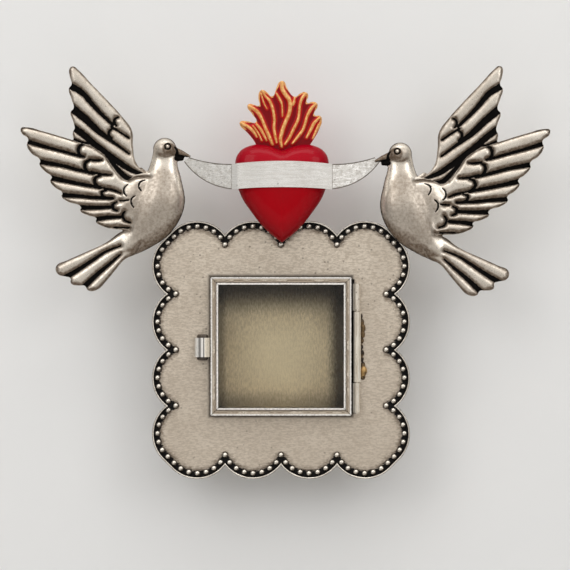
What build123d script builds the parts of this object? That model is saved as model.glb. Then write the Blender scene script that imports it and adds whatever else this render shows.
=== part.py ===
from build123d import *
from math import asin, degrees, hypot, radians, sin, sqrt
import os

# Tin nicho: a soldered sheet box that hangs on a wall, with a scalloped face plate, a glass door
# on a pin hinge, and a heart with a ribbon held by two doves above it.
# Millimetres. +Z is up, the front faces -Y, and the wall is the plane y = 0.
# The origin is the centre of the box's flat back. A depth is measured from the wall towards -Y.

# Box
sheet = 0.8
box_depth = 21.0
window_width = 51.0
window_height = 50.2

# Hanger tab on top of the box
hanger_width = 12.0
hanger_hole_radius = 2.5
hanger_hole_rise = 7.5
hanger_foot = 8.0

# Face plate and its scalloped edge
plate_thickness = 1.0
plate_drop = 1.5
lobes_per_side = 4
lobe_pitch = 22.4
corner_step = 3.7
bead_path_swell = 1.0
rim_margin = 2.1
lip_width = 0.6
lip_height = 1.4
lip_rounding = 0.22
notch_rounding = 0.5
channel_width = 3.0
channel_depth = 0.45
bead_radius = 1.2
bead_pitch = 3.5

# Door
door_width = 56.3
door_height = 55.4
door_gap = 0.2
strip_width = 3.1
strip_depth = 3.3
strip_ridge = 0.6
strip_groove = 0.35
glass_thickness = 1.5
glass_slot = 1.2
glass_clearance = 0.05
glass_edge_clearance = 0.2

# Hinge at the door's right side
hinge_reach = 2.25
middle_knuckle_radius = 1.55
door_knuckle_radius = 1.2
pin_radius = 0.5
pin_clearance = 0.05
hinge_bottom_inset = 1.2
hinge_top_inset = 2.7
bottom_knuckle_length = 11.8
top_knuckle_length = 10.8
knuckle_gap = 0.4
leaf_thickness = 0.6
pin_head_radius = 0.8
pin_head_length = 0.4
solder_reach = 1.9
solder_height = 0.9
solder_end_margin = 1.3

# Latch at the door's left side
catch_radius = 2.25
catch_length = 10.4
catch_flat = 0.15
catch_rounding = 0.9
latch_clearance = 0.35
latch_strip = 0.6
latch_height = 7.7
latch_drop = 0.4

# Heart, as points to the right of its centre line and up from its tip
heart_centre_x = 0.4
heart_overlap = 3.4
heart_depth = 8.6
heart_cleft = 37.4
heart_brow = (7.2, 39.1)
heart_top = (13.4, 38.6)
heart_shoulder = (17.5, 36.1)
heart_wide = (18.8, 32.0)
heart_side = (17.2, 21.3)
heart_flank = (11.2, 11.2)
heart_foot = (5.2, 3.9)
heart_middle = 25.5
heart_sections = [(0.0, 0.0), (1.9, 0.3), (4.7, 2.1), (7.1, 6.0), (8.1, 10.3), (8.45, 14.0)]
heart_front_inset = 17.6

# Flames, as spines from root to tip in the heart's own coordinates
flame_thickness = 2.2
flame_ridge_height = 0.8
flame_ridge_half_width = 0.55
flame_gap = 0.1
flame_tallest = [(0.6, 37.0), (2.6, 47.0), (4.0, 56.0), (1.6, 61.5), (0.1, 64.2)]
flame_short = [(0.2, 37.6), (0.4, 44.0), (0.5, 50.4), (-0.4, 55.2), (-2.0, 58.8)]
flame_left_inner = [(-1.6, 37.5), (-2.8, 42.4), (-3.4, 52.4), (-5.2, 57.0), (-8.0, 60.6)]
flame_left_middle = [(-4.0, 38.0), (-5.4, 42.4), (-8.2, 49.2), (-10.8, 52.4), (-13.2, 54.6)]
flame_left_outer = [(-6.6, 38.2), (-8.4, 41.0), (-11.6, 45.6), (-14.2, 47.0), (-16.6, 47.7)]
flame_right_inner = [(3.4, 38.0), (5.6, 45.6), (7.4, 52.4), (8.6, 56.4), (9.9, 59.4)]
flame_right_middle = [(5.4, 38.2), (8.2, 43.6), (10.2, 49.2), (12.0, 52.6), (13.9, 55.6)]
flame_right_outer = [(8.4, 38.4), (10.4, 42.4), (12.8, 46.4), (14.2, 48.4), (15.5, 50.1)]
flame_half_widths = (3.4, 3.0, 2.3, 1.5, 0.7)

# Ribbon, in the heart's own coordinates
ribbon_thickness = 0.5
ribbon_bow = 1.6
ribbon_crease = 20.0
ribbon_top = 31.2
ribbon_top_crown = 32.4
ribbon_bottom = 21.2
ribbon_bottom_crown = 22.0
ribbon_tail_top = (29.2, 32.2)
ribbon_end_top = (37.0, 34.3)
ribbon_end_bottom = (39.2, 32.5)
ribbon_tail_bottom = (32.1, 25.6)
ribbon_flat_start = 35.4
ribbon_end_margin = 3.0

# Doves. A dove's own coordinates run outwards and upwards from the point where its belly
# is soldered to the corner of the rim.
right_wing_shift = (2.7, -2.2)
right_wing_lean = 0.02
right_wing_stretch = 1.035
right_body_shift = (1.2, -1.9)
right_tail_shift = (1.1, -2.0)
left_beak_tip = (-9.7, 31.9)
right_beak_tip = (-10.0, 30.4)
head_centre = (0.9, 34.5)
head_radius = 4.75
eye_centre = (-0.2, 35.7)
eye_radius = 0.8
beak_root_top = (-3.2, 36.2)
beak_root_bottom = (-3.4, 30.4)
beak_thickness = 2.4
body_stations = [
    ((0.9, 34.0), 4.7, 4.6),
    ((1.3, 28.4), 5.4, 4.9),
    ((1.8, 21.6), 7.9, 5.8),
    ((2.8, 14.0), 10.3, 6.7),
    ((6.4, 6.0), 9.5, 6.4),
    ((11.7, -0.4), 6.6, 5.0),
    ((17.2, -4.6), 4.2, 3.0),
]
far_wing_base = 1.2
near_wing_base = 2.2
tail_base = 1.4
feather_ridge_height = 0.9
wing_ridge_root = 1.25
wing_ridge_tip = 1.05
tail_ridge_root = 1.1
tail_ridge_tip = 1.7
far_feathers = [
    [(17.4, 43.6), (22.0, 49.2), (30.0, 58.4), (37.9, 66.3)],
    [(17.0, 36.8), (22.9, 42.6), (30.2, 49.8), (37.9, 57.3)],
    [(12.6, 27.4), (16.5, 30.2), (22.9, 35.2), (30.2, 41.9), (36.8, 48.4)],
    [(24.8, 32.4), (31.4, 37.3), (36.2, 41.4)],
]
far_coverts = [
    [(14.9, 39.6), (17.6, 43.0), (19.8, 45.2)],
    [(14.2, 33.4), (18.2, 37.4), (21.4, 40.4)],
    [(12.4, 23.8), (17.2, 26.6), (21.6, 30.2)],
]
far_outline = [
    (6.0, 20.0), (6.5, 24.0), (8.6, 25.2), (12.4, 29.4), (13.6, 36.1), (14.0, 42.2), (18.0, 47.8),
    (24.1, 54.5), (30.2, 60.6), (35.7, 66.4), (37.6, 67.7), (38.9, 66.7), (38.8, 63.7), (37.9, 60.0),
    (39.1, 58.5), (38.2, 55.1), (37.1, 50.5), (38.3, 49.3), (37.3, 45.9), (36.6, 42.5), (37.4, 41.3),
    (36.5, 37.0), (34.0, 33.0), (20.0, 22.0),
]
near_feathers = [
    [(34.4, 35.0), (42.0, 37.8), (49.0, 40.0), (57.2, 42.3)],
    [(32.0, 29.0), (39.5, 31.0), (46.5, 33.0), (54.7, 35.5)],
    [(28.4, 22.6), (35.5, 24.2), (42.5, 26.1), (49.8, 28.2)],
    [(24.6, 17.6), (32.0, 18.7), (38.5, 19.9), (45.5, 21.7)],
    [(20.4, 12.9), (27.5, 13.3), (34.0, 14.3), (41.0, 15.9)],
    [(15.4, 9.0), (21.5, 9.2), (27.5, 9.5), (33.6, 10.1)],
    [(11.6, 4.8), (17.0, 4.6), (22.0, 5.1), (27.5, 6.3)],
]
near_coverts = [
    [(17.6, 23.2), (20.2, 27.4), (24.6, 31.8), (32.2, 35.4)],
    [(19.4, 24.6), (24.6, 26.4), (30.2, 28.6)],
    [(13.4, 20.6), (20.0, 21.4), (26.6, 22.2)],
    [(12.2, 16.0), (17.6, 17.0), (23.0, 17.4)],
    [(10.0, 11.4), (14.4, 12.4), (18.9, 12.8)],
]
near_outline = [
    (4.0, 23.0), (8.5, 23.6), (12.4, 23.3), (15.5, 22.1), (18.0, 23.0), (21.6, 27.5), (24.7, 32.1),
    (29.0, 35.2), (33.9, 37.0), (42.5, 39.8), (49.8, 41.9), (55.9, 43.4), (58.3, 43.0), (58.0, 41.0),
    (55.0, 38.6), (55.9, 36.4), (54.1, 33.0), (50.1, 30.0), (50.9, 28.9), (48.6, 25.7), (45.5, 23.4),
    (46.6, 22.3), (44.6, 19.3), (41.2, 17.0), (42.1, 16.3), (39.7, 13.8), (33.6, 11.3), (34.7, 10.5),
    (31.4, 8.2), (27.5, 6.7), (28.5, 6.3), (25.9, 4.0), (20.4, 2.7), (14.0, 3.0), (6.0, 6.0),
]
tail_outline = [
    (8.0, 3.0), (18.0, 1.8), (24.1, -2.5), (33.3, -6.6), (40.0, -9.8), (44.4, -12.0), (43.8, -15.3),
    (39.7, -16.4), (38.2, -16.3), (38.3, -19.0), (34.5, -20.0), (32.7, -19.5), (31.4, -22.2), (27.6, -21.6),
    (24.1, -17.8), (21.0, -14.1), (16.7, -9.2), (12.0, -6.8),
]
tail_feathers = [
    [(17.0, -0.4), (25.6, -3.6), (34.4, -7.8), (43.1, -13.5)],
    [(16.6, -3.6), (23.4, -7.4), (30.2, -12.2), (37.3, -17.7)],
    [(15.6, -6.2), (20.6, -11.2), (25.6, -16.2), (30.8, -20.8)],
]

# Levels and places that follow from the dimensions above
plate_front = box_depth + plate_thickness
plate_centre_z = -plate_drop
rim_front = plate_front + lip_height
bead_path_radius = lobe_pitch / 2 + bead_path_swell
rim_radius = bead_path_radius + rim_margin
lobe_row = (lobes_per_side - 1) / 2 * lobe_pitch + corner_step
lobe_places = [(i - (lobes_per_side - 1) / 2) * lobe_pitch for i in range(lobes_per_side)]
valley_rise = sqrt(rim_radius**2 - (lobe_pitch / 2) ** 2)
top_valley_z = plate_centre_z + lobe_row + valley_rise
corner_reach = lobe_row - corner_step / 2 + rim_radius * sin(radians(45))
box_width = window_width + 2 * sheet
box_height = window_height + 2 * sheet

door_back = plate_front + door_gap
glass_middle = door_back + strip_depth / 2
opening_width = door_width - 2 * strip_width
opening_height = door_height - 2 * strip_width

hinge_x = door_width / 2 + hinge_reach
hinge_depth = plate_front + middle_knuckle_radius
pin_hole_radius = pin_radius + pin_clearance
hinge_bottom = -door_height / 2 + hinge_bottom_inset
hinge_top = door_height / 2 - hinge_top_inset
middle_knuckle_bottom = hinge_bottom + bottom_knuckle_length + knuckle_gap
top_knuckle_bottom = hinge_top - top_knuckle_length
middle_knuckle_length = top_knuckle_bottom - knuckle_gap - middle_knuckle_bottom

catch_depth = plate_front + catch_radius - catch_flat
latch_inner_radius = catch_radius + latch_clearance
latch_outer_radius = latch_inner_radius + latch_strip
catch_x = -door_width / 2 - latch_outer_radius

heart_tip_z = top_valley_z - heart_overlap
heart_front = rim_front + heart_depth
seat_z = plate_centre_z + corner_reach

os.makedirs("parts", exist_ok=True)


def save(part, label):
    part.label = label
    export_step(part, f"parts/{label}.step")


# Half a sphere that bulges to the front.
def dome(radius):
    Sphere(radius, arc_size1=0, rotation=(90, 0, 0), align=(Align.CENTER, Align.CENTER, Align.MIN))


# A closed ribbon-shaped face along a spine, as wide at each point as its half width says.
def tapered_face(spine, half_widths):
    left = []
    right = []
    for i, (x, y) in enumerate(spine):
        before = spine[max(i - 1, 0)]
        after = spine[min(i + 1, len(spine) - 1)]
        run = hypot(after[0] - before[0], after[1] - before[1])
        across_x = (before[1] - after[1]) / run
        across_y = (after[0] - before[0]) / run
        left.append((x + across_x * half_widths[i], y + across_y * half_widths[i]))
        right.append((x - across_x * half_widths[i], y - across_y * half_widths[i]))
    tip_x = spine[-1][0] + across_y * half_widths[-1]
    tip_y = spine[-1][1] - across_x * half_widths[-1]
    with BuildLine() as outline:
        Spline(*left)
        ThreePointArc(left[-1], (tip_x, tip_y), right[-1])
        Spline(*right[::-1])
        Line(right[0], left[0])
    make_face(outline.edges())


# Half widths that change evenly from the root of a spine to its tip.
def even_taper(count, root, tip):
    return [root + (tip - root) * i / (count - 1) for i in range(count)]


# Box: a back and four soldered walls
def make_box_wall(label, x, z, width, height):
    with BuildPart() as wall:
        with BuildSketch(Plane.XZ.offset(sheet)):
            with Locations((x, z)):
                Rectangle(width, height)
        extrude(amount=box_depth - sheet)
    save(wall.part, label)


with BuildPart() as box_back:
    with BuildSketch(Plane.XZ):
        Rectangle(box_width, box_height)
    extrude(amount=sheet)
save(box_back.part, "box_back")

side_x = (window_width + sheet) / 2
side_z = (window_height + sheet) / 2
make_box_wall("box_wall_top", 0, side_z, box_width, sheet)
make_box_wall("box_wall_bottom", 0, -side_z, box_width, sheet)
make_box_wall("box_wall_left", -side_x, 0, sheet, window_height)
make_box_wall("box_wall_right", side_x, 0, sheet, window_height)

# Hanger tab: a bent strip whose foot is soldered on the top wall
hanger_hole_z = box_height / 2 + hanger_hole_rise
with BuildPart() as hanger_tab:
    with BuildSketch(Plane.XZ):
        with Locations((0, (box_height / 2 + hanger_hole_z) / 2)):
            Rectangle(hanger_width, hanger_hole_rise)
        with Locations((0, hanger_hole_z)):
            Circle(hanger_width / 2)
            Circle(hanger_hole_radius, mode=Mode.SUBTRACT)
    extrude(amount=sheet)
    with BuildSketch(Plane.XZ.offset(sheet)):
        with Locations((0, (box_height + sheet) / 2)):
            Rectangle(hanger_width, sheet)
    extrude(amount=hanger_foot)
save(hanger_tab.part, "hanger_tab")


# Scalloped outline: circles along each side, and a wider lobe over each corner.
def scallops(radius, mode=Mode.ADD):
    with Locations((0, plate_centre_z)):
        Rectangle(2 * lobe_row, 2 * lobe_row, mode=mode)
        for side in range(4):
            with Locations(Rotation(0, 0, 90 * side)):
                with Locations(*[(place, lobe_row) for place in lobe_places]):
                    Circle(radius, mode=mode)
                corner = lobe_row - corner_step / 2
                with Locations(Location((corner, corner), -45)):
                    Rectangle(corner_step * sqrt(2), 2 * radius, mode=mode)


# The sharp notches between the lobes are softened a little.
def is_notch(vertex):
    reach = max(abs(vertex.X), abs(vertex.Y - plate_centre_z))
    return abs(reach - lobe_row - valley_rise) < notch_rounding / 10


with BuildSketch() as plate_outline:
    scallops(rim_radius)
    fillet(plate_outline.vertices().filter_by(is_notch), notch_rounding)

# Bead path of the top side, from valley to valley: round each lobe, then round a corner
valley_angle = degrees(asin(lobe_pitch / 2 / bead_path_radius))
middle_runs = [
    CenterArc((place, lobe_row), bead_path_radius, 90 + valley_angle, -2 * valley_angle)
    for place in lobe_places[1:-1]
]
corner_place = lobe_places[-1]
with BuildLine() as corner_line:
    first = CenterArc((corner_place, lobe_row), bead_path_radius, 90 + valley_angle, -valley_angle - 45)
    second = CenterArc((lobe_row, corner_place), bead_path_radius, 45, -valley_angle - 45)
    Line(first @ 1, second @ 0)
bead_runs = [*middle_runs, corner_line.wires()[0]]
bead_points = []
for run in bead_runs:
    steps = round(run.length / bead_pitch)
    bead_points += [run @ (i / steps) for i in range(steps)]

with BuildSketch() as side_channel:
    for run in bead_runs:
        trace(run, line_width=channel_width)
        with Locations(run @ 0):
            Circle(channel_width / 2)

with BuildPart() as face_plate:
    with BuildSketch(Plane.XZ.offset(box_depth)):
        add(plate_outline.sketch)
        Rectangle(window_width, window_height, mode=Mode.SUBTRACT)
    extrude(amount=plate_thickness)
    with BuildSketch(Plane.XZ.offset(plate_front)):
        with Locations((0, plate_centre_z)):
            for side in range(4):
                add(side_channel.sketch, rotation=90 * side)
    extrude(amount=-channel_depth, mode=Mode.SUBTRACT)
save(face_plate.part, "face_plate")

with BuildPart() as rim_lip:
    with BuildSketch(Plane.XZ.offset(plate_front)):
        add(plate_outline.sketch)
        scallops(rim_radius - lip_width, mode=Mode.SUBTRACT)
    extrude(amount=lip_height)
    fillet(rim_lip.faces().sort_by(Axis.Y)[0].edges(), min(lip_rounding, lip_width * 0.4))
save(rim_lip.part, "rim_lip")

# Beads: a row of small domes in the channel
with BuildPart() as bead_border:
    for side in range(4):
        turned = [point.rotate(Axis.Z, 90 * side) for point in bead_points]
        with Locations(*[(p.X, channel_depth - plate_front, p.Y + plate_centre_z) for p in turned]):
            dome(bead_radius)
save(bead_border.part, "bead_border")


# Door: four mitred channel strips round a pane. A strip's face lies between two insets
# from the door's outer edge, and its ends follow the mitres.
def strip_face(side, outer, inner, mode=Mode.ADD):
    half_x = door_width / 2
    half_z = door_height / 2
    if side in ("top", "bottom"):
        sign = 1 if side == "top" else -1
        corners = [
            (outer - half_x, sign * (half_z - outer)),
            (half_x - outer, sign * (half_z - outer)),
            (half_x - inner, sign * (half_z - inner)),
            (inner - half_x, sign * (half_z - inner)),
        ]
    else:
        sign = 1 if side == "right" else -1
        corners = [
            (sign * (half_x - outer), half_z - outer),
            (sign * (half_x - outer), outer - half_z),
            (sign * (half_x - inner), inner - half_z),
            (sign * (half_x - inner), half_z - inner),
        ]
    with BuildLine() as outline:
        Polyline(*corners, close=True)
    make_face(outline.edges(), mode=mode)


def make_strip(label, side):
    with BuildPart() as strip:
        with BuildSketch(Plane.XZ.offset(door_back)):
            strip_face(side, 0, strip_width)
        extrude(amount=strip_depth)
        with BuildSketch(Plane.XZ.offset(door_back + strip_depth - strip_groove)):
            strip_face(side, strip_ridge, strip_width - strip_ridge)
        extrude(amount=strip_groove, mode=Mode.SUBTRACT)
        slot_height = glass_thickness + 2 * glass_clearance
        with BuildSketch(Plane.XZ.offset(glass_middle - slot_height / 2)):
            strip_face(side, strip_width - glass_slot, strip_width)
        extrude(amount=slot_height, mode=Mode.SUBTRACT)
    save(strip.part, label)


make_strip("door_rail_top", "top")
make_strip("door_rail_bottom", "bottom")
make_strip("door_stile_left", "left")
make_strip("door_stile_right", "right")

pane_reach = glass_slot - glass_edge_clearance
with BuildPart() as glass_pane:
    with BuildSketch(Plane.XZ.offset(glass_middle - glass_thickness / 2)):
        Rectangle(opening_width + 2 * pane_reach, opening_height + 2 * pane_reach)
    extrude(amount=glass_thickness)
save(glass_pane.part, "glass_pane")


# Hinge: a knuckle on the plate between two on the door, round one pin
def make_door_knuckle(label, bottom, length):
    with BuildPart() as knuckle:
        with BuildSketch(Plane.XY.offset(bottom)):
            with Locations((hinge_x - hinge_reach / 2, -hinge_depth)):
                Rectangle(hinge_reach, leaf_thickness)
            with Locations((hinge_x, -hinge_depth)):
                Circle(door_knuckle_radius)
                Circle(pin_hole_radius, mode=Mode.SUBTRACT)
        extrude(amount=length)
    save(knuckle.part, label)


make_door_knuckle("hinge_knuckle_bottom", hinge_bottom, bottom_knuckle_length)
make_door_knuckle("hinge_knuckle_top", top_knuckle_bottom, top_knuckle_length)

with BuildPart() as hinge_knuckle_middle:
    with BuildSketch(Plane.XY.offset(middle_knuckle_bottom)):
        with Locations((hinge_x, -hinge_depth)):
            Circle(middle_knuckle_radius)
            Circle(pin_hole_radius, mode=Mode.SUBTRACT)
    extrude(amount=middle_knuckle_length)
save(hinge_knuckle_middle.part, "hinge_knuckle_middle")

pin_end = pin_clearance + pin_head_length
with BuildPart() as hinge_pin:
    with BuildSketch(Plane.XY.offset(hinge_bottom - pin_end)):
        with Locations((hinge_x, -hinge_depth)):
            Circle(pin_radius)
    extrude(amount=hinge_top - hinge_bottom + 2 * pin_end)
    for head_bottom in (hinge_bottom - pin_end, hinge_top + pin_clearance):
        with BuildSketch(Plane.XY.offset(head_bottom)):
            with Locations((hinge_x, -hinge_depth)):
                Circle(pin_head_radius)
        extrude(amount=pin_head_length)
save(hinge_pin.part, "hinge_pin")

with BuildPart() as hinge_solder:
    with BuildSketch(Plane.XY.offset(middle_knuckle_bottom + solder_end_margin)):
        foot = (hinge_x + middle_knuckle_radius + solder_reach, -plate_front)
        brow = (hinge_x + middle_knuckle_radius * 0.8, -plate_front - solder_height)
        root = (hinge_x, -plate_front)
        sag = ((foot[0] + brow[0]) / 2, -plate_front - solder_height * 0.35)
        with BuildLine() as solder_outline:
            ThreePointArc(foot, sag, brow)
            Polyline(brow, root, foot)
        make_face(solder_outline.edges())
        with Locations((hinge_x, -hinge_depth)):
            Circle(middle_knuckle_radius, mode=Mode.SUBTRACT)
    extrude(amount=middle_knuckle_length - 2 * solder_end_margin)
save(hinge_solder.part, "hinge_solder")

# Latch: a bent strip on the left stile that springs over a round bar on the plate
latch_z = -latch_drop
with BuildPart() as latch_tab:
    with BuildSketch(Plane.XY.offset(latch_z - latch_height / 2)):
        with Locations((catch_x, -catch_depth)):
            Circle(latch_outer_radius)
            Circle(latch_inner_radius, mode=Mode.SUBTRACT)
        with Locations((catch_x, latch_outer_radius - catch_depth)):
            Rectangle(2 * latch_outer_radius, 2 * latch_outer_radius, mode=Mode.SUBTRACT)
        leg_length = catch_depth - door_back
        with Locations((-door_width / 2 - latch_strip / 2, -door_back - leg_length / 2)):
            Rectangle(latch_strip, leg_length)
    extrude(amount=latch_height)
save(latch_tab.part, "latch_tab")

with BuildPart() as latch_catch:
    with BuildSketch(Plane.XY.offset(latch_z - catch_length / 2)):
        with Locations((catch_x, -catch_depth)):
            Circle(catch_radius)
    extrude(amount=catch_length)
    fillet(latch_catch.edges().filter_by(GeomType.CIRCLE), min(catch_rounding, catch_radius / 2))
    split(bisect_by=Plane.XZ.offset(plate_front), keep=Keep.TOP)
save(latch_catch.part, "latch_catch")


# Heart: a pillow lofted through its outline, drawn smaller towards the front
def heart_point(point, scale=1.0, side=1):
    x = point[0] * scale * side
    y = heart_middle + (point[1] - heart_middle) * scale
    return (heart_centre_x + x, heart_tip_z + y)


def heart_face(scale=1.0, mode=Mode.ADD):
    cleft = heart_point((0, heart_cleft), scale)
    tip = heart_point((0, 0), scale)
    with BuildLine() as outline:
        for side in (1, -1):
            brow, top, shoulder, wide, flank_top, flank, foot_point = [
                heart_point(point, scale, side)
                for point in (
                    heart_brow, heart_top, heart_shoulder, heart_wide, heart_side, heart_flank, heart_foot
                )
            ]
            Spline(cleft, brow, top, shoulder, wide, flank_top, flank, foot_point, tip)
    make_face(outline.edges(), mode=mode)


with BuildPart() as heart:
    for depth, inset in [*heart_sections, (heart_depth, heart_front_inset)]:
        with BuildSketch(Plane.XZ.offset(rim_front + depth)):
            heart_face(1 - inset / heart_wide[0])
    loft()
save(heart.part, "heart")


# Flames: curved tongues behind the heart's top edge, each with a raised ridge
def flame_spine(points):
    return [heart_point(point) for point in points]


flame_spines = [
    flame_tallest, flame_left_inner, flame_left_middle, flame_left_outer, flame_short,
    flame_right_inner, flame_right_middle, flame_right_outer,
]
heart_room = 1 + flame_gap / heart_wide[0]

with BuildPart() as flame_crown:
    with BuildSketch(Plane.XZ.offset(rim_front)):
        for points in flame_spines:
            tapered_face(flame_spine(points), flame_half_widths)
        heart_face(heart_room, mode=Mode.SUBTRACT)
    extrude(amount=flame_thickness)
    with BuildSketch(Plane.XZ.offset(rim_front)):
        for points in flame_spines:
            ridge = flame_spine(points[1:])
            tapered_face(ridge, even_taper(len(ridge), flame_ridge_half_width, flame_ridge_half_width / 2))
        heart_face(heart_room, mode=Mode.SUBTRACT)
    extrude(amount=flame_thickness + flame_ridge_height)
save(flame_crown.part, "flame_crown")


# Ribbon: one strip bent at two creases. Its band bows over the heart's front, and its ends
# run down behind the beaks.
ribbon_end_depth = rim_front - ribbon_thickness
ribbon_crease_depth = heart_front - ribbon_bow
ribbon_reach = ribbon_end_top[0] + ribbon_end_margin


def ribbon_edge(x, depth):
    return (heart_centre_x + x, -depth)


with BuildPart() as ribbon:
    with BuildSketch(Plane.XZ.offset(ribbon_end_depth)):
        with BuildLine() as ribbon_outline:
            for side in (1, -1):
                crease_top, tail_top, end_top, end_bottom, tail_bottom, crease_bottom = [
                    heart_point(point, side=side)
                    for point in (
                        (ribbon_crease, ribbon_top), ribbon_tail_top, ribbon_end_top,
                        ribbon_end_bottom, ribbon_tail_bottom, (ribbon_crease, ribbon_bottom),
                    )
                ]
                ThreePointArc(crease_top, tail_top, end_top)
                Line(end_top, end_bottom)
                ThreePointArc(end_bottom, tail_bottom, crease_bottom)
            for edge_z, crown in ((ribbon_top, ribbon_top_crown), (ribbon_bottom, ribbon_bottom_crown)):
                ThreePointArc(
                    heart_point((-ribbon_crease, edge_z)),
                    heart_point((0, crown)),
                    heart_point((ribbon_crease, edge_z)),
                )
        make_face()
    extrude(amount=heart_front + ribbon_thickness - ribbon_end_depth)
    with BuildSketch(Plane.XY.offset(heart_tip_z)):
        with BuildLine():
            for rise in (0, ribbon_thickness):
                for side in (1, -1):
                    Polyline(
                        ribbon_edge(side * ribbon_reach, ribbon_end_depth + rise),
                        ribbon_edge(side * ribbon_flat_start, ribbon_end_depth + rise),
                        ribbon_edge(side * ribbon_crease, ribbon_crease_depth + rise),
                    )
                ThreePointArc(
                    ribbon_edge(-ribbon_crease, ribbon_crease_depth + rise),
                    ribbon_edge(0, heart_front + rise),
                    ribbon_edge(ribbon_crease, ribbon_crease_depth + rise),
                )
            for side in (1, -1):
                Line(
                    ribbon_edge(side * ribbon_reach, ribbon_end_depth),
                    ribbon_edge(side * ribbon_reach, ribbon_end_depth + ribbon_thickness),
                )
        make_face()
    extrude(amount=2 * ribbon_top, mode=Mode.INTERSECT)
save(ribbon.part, "ribbon")


# Doves: flat-backed castings with a rounded body, two feathered wings and a tail
def make_dove(label, side, body_shift, wing_shift, wing_lean, wing_stretch, tail_shift, beak_end):
    def place(point, shift):
        return (side * (corner_reach + point[0] + shift[0]), seat_z + point[1] + shift[1])

    def place_tail(point):
        return place(point, tail_shift)

    def place_wing(point):
        return place((point[0] + wing_lean * point[1], point[1] * wing_stretch), wing_shift)

    def add_feathers(feathers, outline, place_point, base_height, ridge_root, ridge_tip):
        with BuildSketch(Plane.XZ.offset(rim_front)) as base:
            with BuildLine() as edge:
                Polyline(*[place_point(point) for point in outline], close=True)
            make_face(edge.edges())
        extrude(base.sketch, amount=base_height)
        with BuildSketch(Plane.XZ.offset(rim_front)) as ridges:
            for spine in feathers:
                placed = [place_point(point) for point in spine]
                tapered_face(placed, even_taper(len(spine), ridge_root, ridge_tip))
        extrude(ridges.sketch, amount=base_height + feather_ridge_height)

    stations = [(place(middle, body_shift), width, depth) for middle, width, depth in body_stations]
    with BuildPart() as dove:
        for i, ((x, z), width, depth) in enumerate(stations):
            before = stations[max(i - 1, 0)][0]
            after = stations[min(i + 1, len(stations) - 1)][0]
            along = Vector(after[0] - before[0], 0, after[1] - before[1]).normalized()
            across = Vector(-along.Z, 0, along.X)
            with BuildSketch(Plane(origin=(x, -rim_front, z), x_dir=across, z_dir=along)):
                with BuildLine() as section:
                    ThreePointArc((-width, 0), (0, depth), (width, 0))
                    Line((width, 0), (-width, 0))
                make_face(section.edges())
        loft()
        head_x, head_z = place(head_centre, body_shift)
        with Locations((head_x, -rim_front, head_z)):
            dome(head_radius)
        eye_x, eye_z = place(eye_centre, body_shift)
        eye_rise = sqrt(head_radius**2 - (eye_x - head_x) ** 2 - (eye_z - head_z) ** 2)
        with Locations((eye_x, -rim_front - eye_rise, eye_z)):
            Sphere(eye_radius)
        with BuildSketch(Plane.XZ.offset(rim_front)):
            with BuildLine() as beak:
                Polyline(
                    place(beak_root_top, body_shift), place(beak_end, (0, 0)),
                    place(beak_root_bottom, body_shift), place(head_centre, body_shift), close=True,
                )
            make_face(beak.edges())
        extrude(amount=beak_thickness)
        wing_ridge = (wing_ridge_root, wing_ridge_tip)
        tail_ridge = (tail_ridge_root, tail_ridge_tip)
        add_feathers(far_feathers + far_coverts, far_outline, place_wing, far_wing_base, *wing_ridge)
        add_feathers(near_feathers + near_coverts, near_outline, place_wing, near_wing_base, *wing_ridge)
        add_feathers(tail_feathers, tail_outline, place_tail, tail_base, *tail_ridge)
    save(dove.part, label)


make_dove("dove_left", -1, (0, 0), (0, 0), 0, 1, (0, 0), left_beak_tip)
make_dove(
    "dove_right", 1, right_body_shift, right_wing_shift, right_wing_lean, right_wing_stretch,
    right_tail_shift, right_beak_tip,
)
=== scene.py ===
import math

import bpy
import numpy as np
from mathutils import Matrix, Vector


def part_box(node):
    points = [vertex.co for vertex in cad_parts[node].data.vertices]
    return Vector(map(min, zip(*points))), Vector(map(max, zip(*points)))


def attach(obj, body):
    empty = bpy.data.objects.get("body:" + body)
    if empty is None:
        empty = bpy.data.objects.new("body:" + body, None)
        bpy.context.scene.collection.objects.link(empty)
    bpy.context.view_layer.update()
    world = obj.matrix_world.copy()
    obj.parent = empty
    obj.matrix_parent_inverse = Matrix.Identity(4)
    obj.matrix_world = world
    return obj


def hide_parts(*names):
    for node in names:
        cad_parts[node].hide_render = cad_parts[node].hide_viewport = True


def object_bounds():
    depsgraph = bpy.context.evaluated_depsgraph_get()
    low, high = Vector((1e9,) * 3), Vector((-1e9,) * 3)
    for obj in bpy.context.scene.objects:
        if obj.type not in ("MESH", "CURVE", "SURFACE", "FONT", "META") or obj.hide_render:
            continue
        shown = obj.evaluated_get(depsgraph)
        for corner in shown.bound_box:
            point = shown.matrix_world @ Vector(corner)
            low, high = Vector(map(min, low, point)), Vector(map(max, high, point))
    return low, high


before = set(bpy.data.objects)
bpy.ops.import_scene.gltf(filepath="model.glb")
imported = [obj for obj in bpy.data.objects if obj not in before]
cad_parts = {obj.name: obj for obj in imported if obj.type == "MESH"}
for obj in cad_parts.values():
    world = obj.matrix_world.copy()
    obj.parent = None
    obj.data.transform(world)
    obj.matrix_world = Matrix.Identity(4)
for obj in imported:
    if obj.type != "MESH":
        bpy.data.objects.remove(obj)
cadLow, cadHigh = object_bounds()
mm = 0.001
print("frame loaded with", len(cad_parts), "nodes")

# Levels of the CAD model that the new pieces follow
heartLow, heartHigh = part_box("heart")
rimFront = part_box("rim_lip")[0].y
heartTip = Vector(((heartLow.x + heartHigh.x) / 2, rimFront, heartLow.z))


def clearSelection():
    if bpy.context.object and bpy.context.object.mode != "OBJECT":
        bpy.ops.object.mode_set(mode="OBJECT")
    bpy.ops.object.select_all(action="DESELECT")


def activate(obj):
    clearSelection()
    obj.select_set(True)
    bpy.context.view_layer.objects.active = obj


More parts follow.
